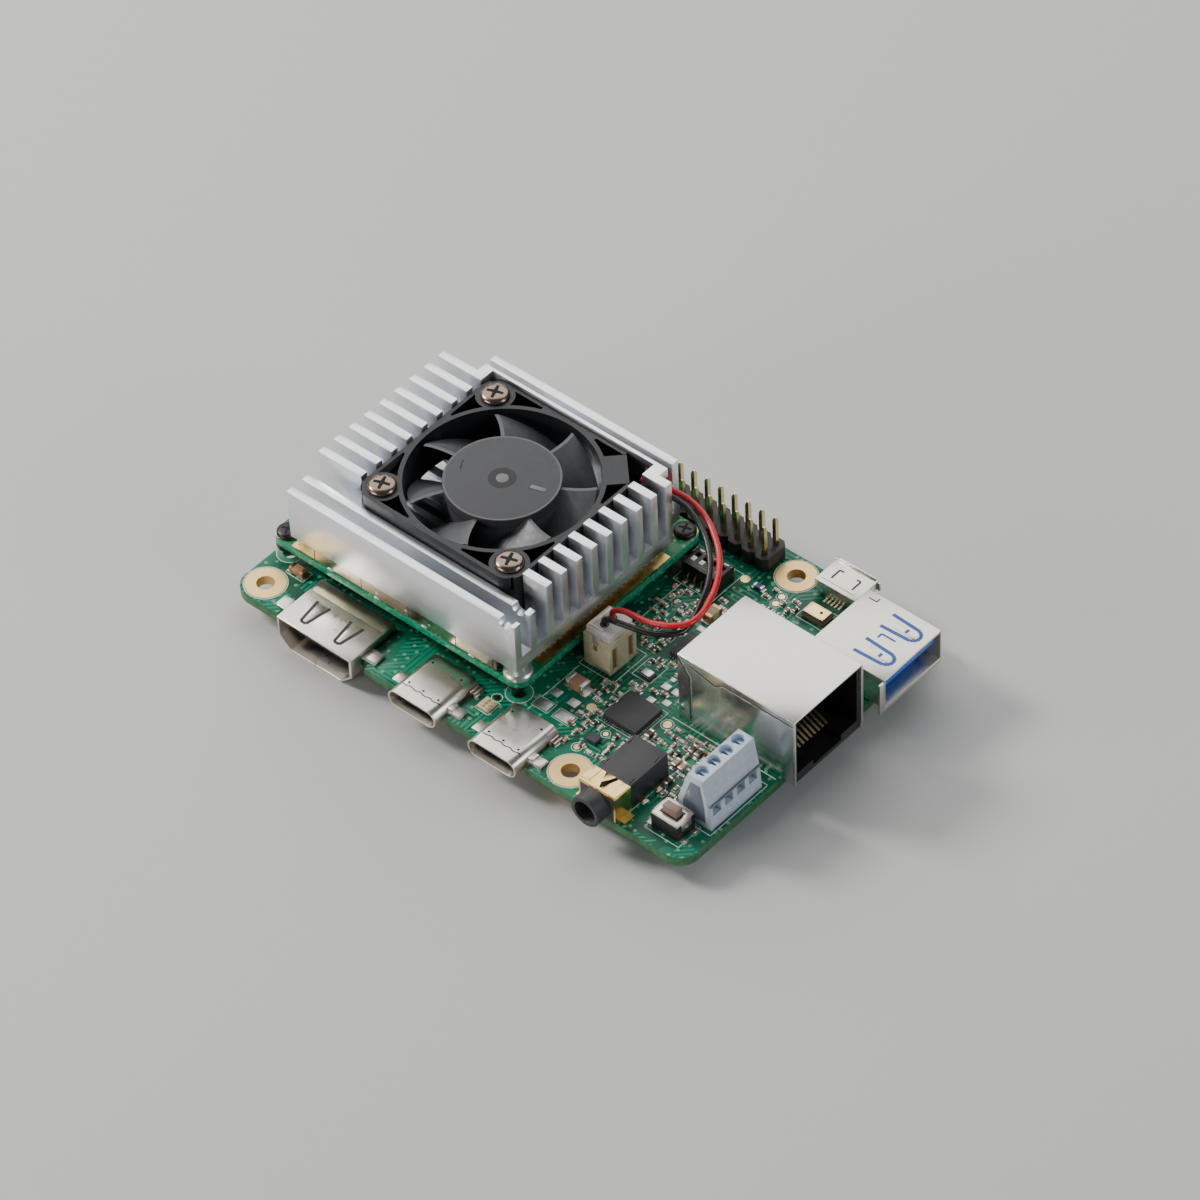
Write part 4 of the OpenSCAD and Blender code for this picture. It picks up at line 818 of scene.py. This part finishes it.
MODULE_TOP = 4.2
POST = (46.1, 10.2)
SCREWED_EARS = ((2.1, 10.2), (2.1, 46.2), (46.1, 46.2))
BOOT_X = 51.75
RESET_X, RESET_Y = 79.35, 4.55
RESET_TOP = 2.95
AUDIO_TOP = 4.5
SPEAKER_MID = 12.6
FAN_LEADS = ((51.3, 22.8), (51.3, 24.5))


def make_module_screws():
    screws = Piece("module_screws_finished")
    for x, y in SCREWED_EARS:
        pan_head(screws, (x, y), MODULE_TOP, MODULE_HEAD, "black_screw")
        screws.lathe([(0.95, 1.6), (0.95, MODULE_TOP)], (x, y, 0), "black_screw", sides=16)
    screws.lathe([(0, 2.2), (1.7, 2.25), (1.75, 2.5), (1.75, 3.0), (0.95, 3.0), (0.95, 7.4)],
                 (*POST, 0), "black_screw", sides=24)
    screws.finish(slot_of("module_screws"), "module_screws")


def make_switch_details():
    parts = Piece("switch_details")
    # Boot switch: gull-wing leads on both long sides and a raised rim on its top
    for k in range(4):
        x = BOOT_X + (k - 1.5) * PITCH / 2
        for y, s in ((42.6, -1), (46.5, 1)):
            lead = [(x, y - 0.05 * s, 0.9), (x, y + 0.25 * s, 0.85), (x, y + 0.45 * s, 0.2),
                    (x, y + 1.1 * s, 0.12)]
            parts.tube(lead, 0.16, "bright_gold", 6)
            pad = (y + 0.35 * s, y + 1.35 * s)
            parts.box((x - 0.35, x + 0.35), pad, (0.0, 0.08), "pad", 0.02)
    for y in ((42.75, 43.35), (45.75, 46.35)):
        parts.box((48.6, 54.9), y, (2.58, 2.64), "grey", 0.02)
    for k in range(4):
        x = BOOT_X + (k - 1.5) * 1.5
        parts.box((x - 0.4, x + 0.4), (45.85, 46.15), (2.6, 2.68), "white", 0.02)
    # Reset switch: a gap of painted shade and a raised rim round the button
    for dx, dy, width, material in ((1.6, 0.95, 0.2, "hole"), (2.38, 1.83, 0.16, "dull_nickel")):
        frame_mark(parts, (RESET_X - dx, RESET_X + dx), (RESET_Y - dy, RESET_Y + dy), RESET_TOP,
                   width, material)
    # Folded ends of the cover and the four solder legs
    for sx in (-1, 1):
        edge = RESET_X + sx * 2.4
        parts.box((edge, edge + sx * 0.1), (3.5, 5.6), (1.4, 2.9), "nickel", 0.04)
        for sy in (-1, 1):
            y = RESET_Y + sy * 1.15
            leg = (edge, edge + sx * 0.75)
            parts.box(leg, (y - 0.3, y + 0.3), (0.0, 0.22), "nickel", 0.05)
            pad = (edge, edge + sx * 1.05)
            parts.box(pad, (y - 0.5, y + 0.5), (0.0, 0.08), "pad", 0.02)
    # Painted shade in the fan header's slots and in a strip on its front, ribs on the plug, and the
    # holes that its wires enter in painted shade
    for y in (21.3, 24.7):
        parts.box((53.55, 53.66), (y + 0.02, y + 0.98), (0.62, 4.78), "cream_dark", 0)
    parts.box((50.95, 51.65), (20.63, 20.66), (3.6, 4.6), "cream_dark", 0)
    parts.box((49.9, 52.4), (21.3, 21.7), (7.15, 7.5), "white", 0.08)
    parts.box((49.5, 50.1), (21.2, 25.9), (7.15, 7.4), "white", 0.08)
    for x, y in FAN_LEADS:
        parts.lathe([(0.68, 0), (0.66, 0.02), (0.5, 0.02)], (x, y, PLUG_TOP), "hole", sides=20)
    parts.finish("socket_steel")


def make_audio_details():
    """Brass spring and raised edges on the audio jack's strap, painted shade under the spring and
    in the slots of its body, and the body's leads.
    """
    audio = Piece("audio_details")
    top = AUDIO_TOP
    audio.box((66.3, 72.7), (0.1, 0.6), (top - 0.02, top + 0.22), "brass", 0.08)
    for x in ((66.3, 67.6), (71.5, 72.7)):
        audio.box(x, (0.1, 3.3), (top - 0.02, top + 0.12), "brass", 0.05)
    audio.prism([(68.4, 3.35), (70.6, 3.35), (69.5, 0.5)], top, top + 0.09, "hole")
    spring = [(68.75, 3.35, top + 0.08), (70.25, 3.35, top + 0.08), (69.5, 0.9, top + 0.75),
              (68.75, 3.35, top + 0.22), (70.25, 3.35, top + 0.22), (69.5, 0.9, top + 0.85)]
    faces = [(0, 1, 2), (5, 4, 3), (0, 3, 4, 1), (1, 4, 5, 2), (2, 5, 3, 0)]
    audio.solid(spring, faces, "brass", 0.02)
    for x, y in ((66.9, 5.1), (72.1, 9.8), (66.9, 10.2), (72.1, 4.6)):
        audio.box((x - 0.12, x + 0.12), (y - 0.7, y + 0.7), (4.15, 4.22), "hole", 0.01)
    audio.box((66.2, 66.6), (5.2, 6.2), (0, 0.3), "brass", 0.05)
    for y in (5.6, 8.6, 10.6):
        for s, x in ((-1, 66.5), (1, 72.5)):
            lead, pad = (x, x + s * 0.8), (x, x + s * 1.1)
            audio.box(lead, (y - 0.45, y + 0.45), (0, 0.25), "bright_gold", 0.05)
            audio.box(pad, (y - 0.6, y + 0.6), (0, 0.06), "pad", 0.02)
    audio.finish("brass_metal")


def make_terminal_details():
    """Raised end plate with painted shade in its recess, a step along the front drawn in painted
    shade, and solder tails.
    """
    term = Piece("terminal_details")
    plate = [(78.3, 0.3), (78.3, 3.1), (80.1, 8.8), (82.6, 8.8), (83.5, 4), (83.8, 0.3)]
    term.prism(plate, 7.13, 7.22, "terminal", "y", 0.02)
    recess = [(79, 1), (79, 3.2), (80.5, 7.8), (82.2, 7.8), (82.9, 4), (83.1, 1)]
    term.prism(recess, 7.1, 7.2, "terminal_dark", "y", 0.02)
    term.box((83.55, 84.0), (7.3, 17.9), (4.35, 4.5), "terminal_dark", 0.02)
    for k in range(4):
        y = SPEAKER_MID + (k - 1.5) * PITCH
        term.tube([(81, y, -BOARD_T - 1.5), (81, y, 0.4)], 0.4, "solder", 10)
        joint_cone(term, 81, y, [(0.95, 0), (0.6, -0.3), (0.42, -0.8)])
    term.finish("terminal_plastic")


# ---- board marks, pads and small parts

def flat_ring(piece, centre, radius, width, z, material, sides=40):
    low, high = radius - width / 2, radius + width / 2
    profile = [(low, 0), (low, 0.015), (high, 0.015), (high, 0)]
    piece.lathe(profile, (*centre, z), material, sides=sides)


def frame_mark(piece, x, y, z=0.0, width=0.14, material="silk"):
    """A printed rectangle."""
    w = width
    for a, b in (((x[0], x[1]), (y[0], y[0] + w)), ((x[0], x[1]), (y[1] - w, y[1])),
                 ((x[0], x[0] + w), (y[0], y[1])), ((x[1] - w, x[1]), (y[0], y[1]))):
        piece.box(a, b, (z, z + SILK_T), material, 0)


def two_ended(piece, at, size, body, upright=False, ends="solder"):
    """A chip capacitor or resistor on its pads: metal ends round a coloured body."""
    l, w, h = size
    turn = (90, at) if upright else None
    x, y = at
    cap = l * 0.24
    l, w = l / 2, w / 2
    piece.box((x - l + cap, x + l - cap), (y - w, y + w), (0.03, h), body, 0.04, turn)
    for s in (-1, 1):
        end = (x + s * l, x + s * (l - cap))
        piece.box(end, (y - w - 0.015, y + w + 0.015), (0.02, h + 0.015), ends, 0.05, turn)
        pad = (x + s * (l + l * 0.32), x + s * (l - cap * 0.6))
        piece.box(pad, (y - w - 0.06, y + w + 0.06), (0, 0.07), "solder", 0.02, turn)


# Centre and radius
TEST_PADS = ((55.8, 14.5, 0.75), (66.2, 18.7, 0.65), (60.7, 11.9, 0.4), (59.2, 7.5, 0.5),
             (62.5, 48.0, 0.5), (62.7, 46.4, 0.5), (44.3, 7.5, 0.5), (56.2, 47.5, 0.75))
# Centre, length and width
BARE_PADS = ((50.1, 13.6, 1.5, 1.4), (53.3, 13.6, 1.6, 1.4), (50.2, 10.7, 2.4, 1.7),
             (54.1, 10.7, 2.6, 1.7), (61.2, 25.8, 0.8, 0.7), (61.3, 24.2, 1.3, 1.1),
             (63.2, 24.2, 1.3, 1.1), (61.3, 20.9, 1.2, 1), (63.4, 21.8, 1.2, 1),
             (55.6, 35.6, 1.4, 1.1), (57.8, 35.9, 1.3, 1.0))
# Printed lines beside the module and the network jack
LINES = (((47.6, 48.9), (8.2, 8.34)), ((49.0, 49.14), (8.2, 19.6)), ((49.6, 49.72), (28, 41)),
         ((65.8, 84.6), (20.2, 20.34)))
# Printed frames by line width: fan header, audio jack, speaker terminal; crystal, lamp; the rest
FRAMES = {
    0.14: (((48.6, 55.2), (19.9, 27.3)), ((65.9, 73), (0.3, 13.2)), ((77.2, 84.5), (6.4, 18.8))),
    0.12: (((55.8, 59.2), (23, 27.2)), ((43, 45.6), (4.1, 6.9))),
    0.1: (((76.2, 82.5), (2.0, 6.9)), ((48, 55.5), (41, 48.1)), ((57.6, 64.9), (13.4, 20.5)),
          ((66.4, 71.5), (46.3, 50.1)), ((4.1, 7.6), (6.9, 9.1)), ((48.7, 51.8), (9.6, 11.8)),
          ((52.5, 55.7), (9.6, 11.8)), ((65.0, 66.4), (14.4, 16.4))),
}


def make_board_marks():
    """Printed outlines, rings, test pads, bare pads and the ringed holes under the module."""
    marks = Piece("board_marks")
    for x in (3.5, 61.5):
        for y in (3.5, 52.5):
            flat_ring(marks, (x, y), 3.22, 0.14, 0.0, "silk", 56)
    for ear in (*SCREWED_EARS, POST):
        flat_ring(marks, ear, 1.55, 0.85, 0.0, "mask_light")
        flat_ring(marks, ear, 2.0, 0.12, 0.005, "silk")
    for x, y, r in TEST_PADS:
        marks.lathe([(r, 0), (r, 0.03), (0, 0.035)], (x, y, 0), "bright_gold", sides=24)
        flat_ring(marks, (x, y), r + 0.3, 0.1, 0.0, "silk" if r < 0.7 else "mask_light")
    for x, y, l, w in BARE_PADS:
        marks.box((x - l / 2, x + l / 2), (y - w / 2, y + w / 2), (0, 0.07), "pad", 0.03)
    for x, y in LINES:
        marks.box(x, y, (0, SILK_T), "silk", 0)
    for width, places in FRAMES.items():
        for x, y in places:
            frame_mark(marks, x, y, width=width)
    marks.finish(slot_of("main_board"))


def side_leads(piece, x, y, count, first, pitch, half, z, tuck=0.0):
    """Short leads along all four sides of a chip that covers the ranges x and y."""
    for k in range(count):
        step = first + k * pitch
        for s, side in ((-1, 0), (1, 1)):
            reach = (y[side] - tuck * s, y[side] + 0.3 * s)
            piece.box((x[0] + step - half, x[0] + step + half), reach, z, "solder", 0.02)
            reach = (x[side] - tuck * s, x[side] + 0.3 * s)
            piece.box(reach, (y[0] + step - half, y[0] + step + half), z, "solder", 0.02)


def make_chips():
    """Chips with leads, the microphone's gold lid and the crystal's can."""
    chips = Piece("chips_finished")
    # The two large chips, each with a round mark by its first lead
    x, y = (58.4, 64.3), (14, 19.9)
    chips.box(x, y, (0.05, 0.9), "chip", 0.06)
    chips.lathe([(0.3, 0), (0.28, 0.008), (0, 0.006)], (59.2, 14.8, 0.9), "grey", sides=20)
    side_leads(chips, x, y, 14, 0.45, 0.385, 0.09, (0, 0.14), 0.02)
    x, y = (57.6, 62.6), (29.2, 34.2)
    chips.box(x, y, (0.03, 0.85), "chip", 0.06)
    chips.lathe([(0.28, 0), (0.26, 0.008), (0, 0.006)], (58.3, 29.9, 0.85), "grey", sides=20)
    side_leads(chips, x, y, 10, 0.35, 0.48, 0.12, (0, 0.1))
    # Microphone: brown sides, a gold lid with a raised rim and the sound hole in painted shade
    chips.box((67, 70.9), (46.9, 49.5), (0, 0.85), "ceramic_dark", 0.08)
    chips.box((67.1, 70.8), (47, 49.4), (0.85, 1.08), "bright_gold", 0.12)
    frame_mark(chips, (67.35, 70.55), (47.2, 49.2), 1.08, 0.08, "brass")
    chips.lathe([(0.26, 0), (0.24, 0.014), (0, 0.012)], (69.6, 48.3, 1.08), "hole", sides=20)
    # Switching regulator, and the crystal's pale can on a dark base
    chips.box((59.3, 61.1), (9.2, 10.6), (0.02, 0.7), "chip", 0.06)
    chips.box((56.9, 58.9), (23.3, 24.9), (0, 0.35), "chip", 0.04)
    chips.box((57, 58.8), (23.4, 24.8), (0.35, 0.78), "white_metal", 0.12)
    chips.finish(slot_of("board_chips"), "board_chips")


# Place, size, body, whether it is turned, and its ends
SINGLE_PARTS = (
    ((51.8, 16.3), (3.2, 1.8, 1.6), "ceramic", False, "white_metal"),
    ((5.8, 8), (2.6, 1.3, 1), "ceramic", False, "copper"),
    ((41.5, 6.3), (0.9, 1.7, 0.7), "resistor"), ((56.5, 6.3), (0.9, 1.7, 0.7), "resistor"),
    ((57.4, 38.8), (2.6, 1.5, 1.2), "ceramic_tan", True, "copper"),
    ((58.9, 47.3), (1.6, 0.8, 0.6), "part_blue"), ((73.5, 10.3), (1.6, 0.8, 0.7), "resistor", True),
)
MEDIUM_PARTS = ((72.4, 17), (73.5, 17), (72.2, 13.6), (73.4, 13.6), (65.7, 15.4))
LEVEL_PARTS = ((60.7, 22.3), (62.2, 22.8), (58.9, 20.9), (67.5, 17.5), (68.9, 17.3), (55.3, 30.2),
               (61.3, 7.6), (59.6, 8.1), (55.2, 18.2), (55.6, 10.4), (57.4, 16.2), (68.2, 15.4),
               (67.4, 12.6), (69.2, 12.6), (50.6, 36.2), (53.4, 36.4), (54.8, 33.8))
UPRIGHT_PARTS = ((56.7, 26.4), (58.2, 26.4), (53.3, 28.6), (54.6, 28.6), (55.6, 28.6), (62.9, 10.4),
                 (56.6, 13.2), (57.2, 9.4), (58.2, 12.4), (62.3, 12.2), (63.6, 46.9), (65, 46.2),
                 (51.6, 33.2), (52.8, 33.4), (50.2, 31.6), (71, 15.2), (70, 14.8))
BODIES = ("ceramic_tan", "resistor", "ceramic", "white")
# Range in x, range in y and how many scattered parts it holds
CLUSTERS = (((57.2, 64.6), (6.9, 13.1), 26), ((53.2, 57.8), (12.2, 20), 12),
            ((66.9, 74.8), (13.8, 19.4), 26), ((49.4, 56), (29.5, 40.4), 22),
            ((65, 66.3), (37, 45), 6), ((60.8, 66), (44.4, 48.6), 7),
            ((57, 65.2), (21.2, 28.4), 10), ((73.8, 77), (7, 12.8), 7),
            ((56.6, 60), (40.8, 44.6), 5))
# Areas that scattered parts stay out of
KEEP_OUT = (((58.0, 64.7), (13.6, 20.3)), ((57.3, 62.9), (28.9, 34.5)), ((66.2, 90), (20.7, 36)),
            ((66, 73), (-1, 11.9)), ((56.5, 59.3), (22.9, 25.3)), ((48.6, 54.5), (20.2, 26.8)),
            ((66.7, 71.2), (46.6, 49.8)), ((59.1, 61.3), (9, 10.8)), ((48.2, 55.3), (41.2, 48)),
            ((58.2, 64.8), (0, 6.8)), ((50, 53.6), (15.2, 17.4)), ((72.6, 74.4), (9.2, 11.4)))
GRID = 0.45
GAP = 0.7
PARTS_APART = 1.3


def is_free(x, y, taken):
    """Whether a small part at this place stands clear of pads, chips and the parts there."""
    if any((a - x) ** 2 + (b - y) ** 2 < PARTS_APART for a, b in taken):
        return False
    pads = [(a, b, r, r) for a, b, r in TEST_PADS]
    pads += [(a, b, l / 2, w / 2) for a, b, l, w in BARE_PADS]
    if any(abs(x - a) < u + GAP and abs(y - b) < v + GAP for a, b, u, v in pads):
        return False
    return not any(a[0] - GAP < x < a[1] + GAP and b[0] - GAP < y < b[1] + GAP
                   for a, b in KEEP_OUT)


def make_parts():
    """The many two-ended parts, with the larger ones that stand apart."""
    random.seed(41)
    parts = Piece("passives_finished")
    for single in SINGLE_PARTS:
        two_ended(parts, *single)
    # Indicator lamp: two rows of little squares in a clear body
    parts.box((43.3, 45.3), (4.4, 6.6), (0, 0.4), "cream", 0.05)
    for i in range(2):
        for j in range(3):
            x, y = 43.85 + i * 0.9, 4.85 + j * 0.65
            parts.box((x - 0.3, x + 0.3), (y - 0.22, y + 0.22), (0.38, 0.58), "lamp", 0.05)
    for at in MEDIUM_PARTS:
        two_ended(parts, at, (1.6, 0.8, 0.8), random.choice(("ceramic_tan", "resistor")), True)
    for places, upright in ((LEVEL_PARTS, False), (UPRIGHT_PARTS, True)):
        for at in places:
            two_ended(parts, at, (1, 0.5, 0.5), random.choice(BODIES), upright)
    taken = list(LEVEL_PARTS + UPRIGHT_PARTS)
    # Smaller ones crowd the rest of each cluster
    silk = Piece("parts_outlines")
    for (xa, xb), (ya, yb), count in CLUSTERS:
        placed = tries = 0
        while placed < count and tries < 400:
            tries += 1
            x = xa + round(random.random() * (xb - xa) / GRID) * GRID
            y = ya + round(random.random() * (yb - ya) / GRID) * GRID
            if not is_free(x, y, taken):
                continue
            taken.append((x, y))
            placed += 1
            upright = random.random() < 0.5
            two_ended(parts, (x, y), (0.95, 0.48, 0.42), random.choice(BODIES), upright)
            if random.random() < 0.7:
                dx, dy = (0.45, 0.72) if upright else (0.72, 0.45)
                frame_mark(silk, (x - dx, x + dx), (y - dy, y + dy), width=0.08)
    parts.finish(slot_of("board_passives"), "board_passives")
    silk.finish(slot_of("main_board"))


# ---- module and heat sink

def make_module_marks():
    """Gold pads and rings of the module's board with a via hole in painted shade, and the shield's
    folds in painted shade and its dimples in painted highlight.
    """
    marks = Piece("module_marks")
    top = MODULE_TOP
    for ear in (*SCREWED_EARS, POST):
        flat_ring(marks, ear, 1.7, 0.25, top, "bright_gold")
    marks.box((4.3, 5.95), (8.5, 12.6), (top, top + 0.03), "gold_dull", 0.01)
    # A via hole in painted shade
    marks.lathe([(0.22, 0), (0.2, 0.01), (0, 0.008)], (5.1, 9.4, top + 0.03), "hole", sides=16)
    marks.box((45.3, 47.8), (13.5, 41), (top, top + 0.02), "gold_dull", 0.005)
    for k in range(24):
        y = 14.5 + k * 1.1
        marks.box((45.6, 46.4), (y - 0.18, y + 0.18), (top + 0.015, top + 0.035), "pad", 0.005)
    marks.finish(slot_of("module_board"))

    tin = Piece("shield_details")
    low = MODULE_TOP
    for x in (15.5, 21, 26.5, 31, 38.5):
        dimple = (x, 8.4, low + 1.0)
        tin.lathe([(0.24, 0), (0.2, -0.02), (0, -0.03)], dimple, "solder", "y", 16)
    for x in (9, 18, 27, 36, 43):
        tin.box((x - 0.05, x + 0.05), (8.37, 8.44), (low + 0.1, low + 2.5), "seam", 0)
        tin.box((x + 2.5, x + 3.5), (8.25, 8.5), (low, low + 0.2), "solder", 0.05)
    for y in (14, 20, 26, 32, 38):
        tin.box((45.16, 45.24), (y - 0.05, y + 0.05), (low + 0.1, low + 1.95), "seam", 0)
        dimple = (45.2, y + 2.5, low + 1.0)
        tin.lathe([(0.24, 0), (0.2, 0.02), (0, 0.03)], dimple, "solder", "x", 16)
    tin.finish("shield_metal")

    collar = Piece("post_collar")
    profile = [(1.92, 0.0), (2.15, 0.0), (2.15, 0.5), (1.92, 0.8)]
    collar.lathe(profile, (*POST, MODULE_TOP + 0.05), "sink", sides=36)
    collar.finish("sink_aluminium")


# ---- underside

JACK_TAILS = ((69.5, 22.4), (72, 24.9), (69.5, 27.4), (72, 29.9), (69.5, 32.4), (72, 34),
              (78, 21.9), (78, 34.7))
SOCKET_TAILS = ((77, 41), (77, 44.4), (77, 47.6), (77, 51), *FAN_LEADS)
UNDER_PARTS = 46


def make_underside():
    """Cable contacts, solder tails and joints, pads and small parts under the board."""
    under = Piece("underside_details")
    z = -BOARD_T
    for cx in (33, 58):
        for k in range(15):
            x = cx + (k - 7) * 0.9
            under.box((x - 0.12, x + 0.12), (22.2, 23.4), (z - 0.72, z - 0.66), "bright_gold", 0.02)
            under.box((x - 0.14, x + 0.14), (26.2, 27), (z - 0.14, z), "solder", 0.03)
    for x, y in JACK_TAILS:
        under.tube([(x, y, z - 1.4), (x, y, z)], 0.3, "solder", 10)
        joint_cone(under, x, y, [(0.85, 0), (0.5, -0.3), (0.32, -0.8)])
    for x, y in SOCKET_TAILS:
        under.tube([(x, y, z - 1.2), (x, y, z)], 0.28, "solder", 10)
        joint_cone(under, x, y, [(0.8, 0), (0.45, -0.3), (0.3, -0.7)])
    random.seed(7)
    for k in range(UNDER_PARTS):
        x, y = 20 + random.random() * 42, 30 + random.random() * 16
        x, y = round(x / 1.6) * 1.6, round(y / 1.4) * 1.4
        dx, dy = (0.25, 0.5) if random.choice((True, False)) else (0.5, 0.25)
        body = random.choice(("ceramic_tan", "resistor", "ceramic"))
        # Each is a little flatter than the last, so that no two faces lie in one plane
        under.box((x - dx, x + dx), (y - dy, y + dy), (z - 0.45 + k * 0.0005, z), body, 0.04)
    for cx, cy in ((24, 12), (40, 10), (64, 40)):
        x, y = (cx - 2, cx + 2), (cy - 2, cy + 2)
        under.box(x, y, (z - 0.8, z - 0.03), "chip", 0.06)
        side_leads(under, x, y, 8, 0.4, 0.457, 0.1, (z - 0.1, z))
    under.finish(slot_of("board_chips"))


make_fan()
make_jack()
make_springs()
make_pins()
make_module_screws()
make_switch_details()
make_audio_details()
make_terminal_details()
make_board_marks()
make_chips()
make_parts()
make_module_marks()
make_underside()
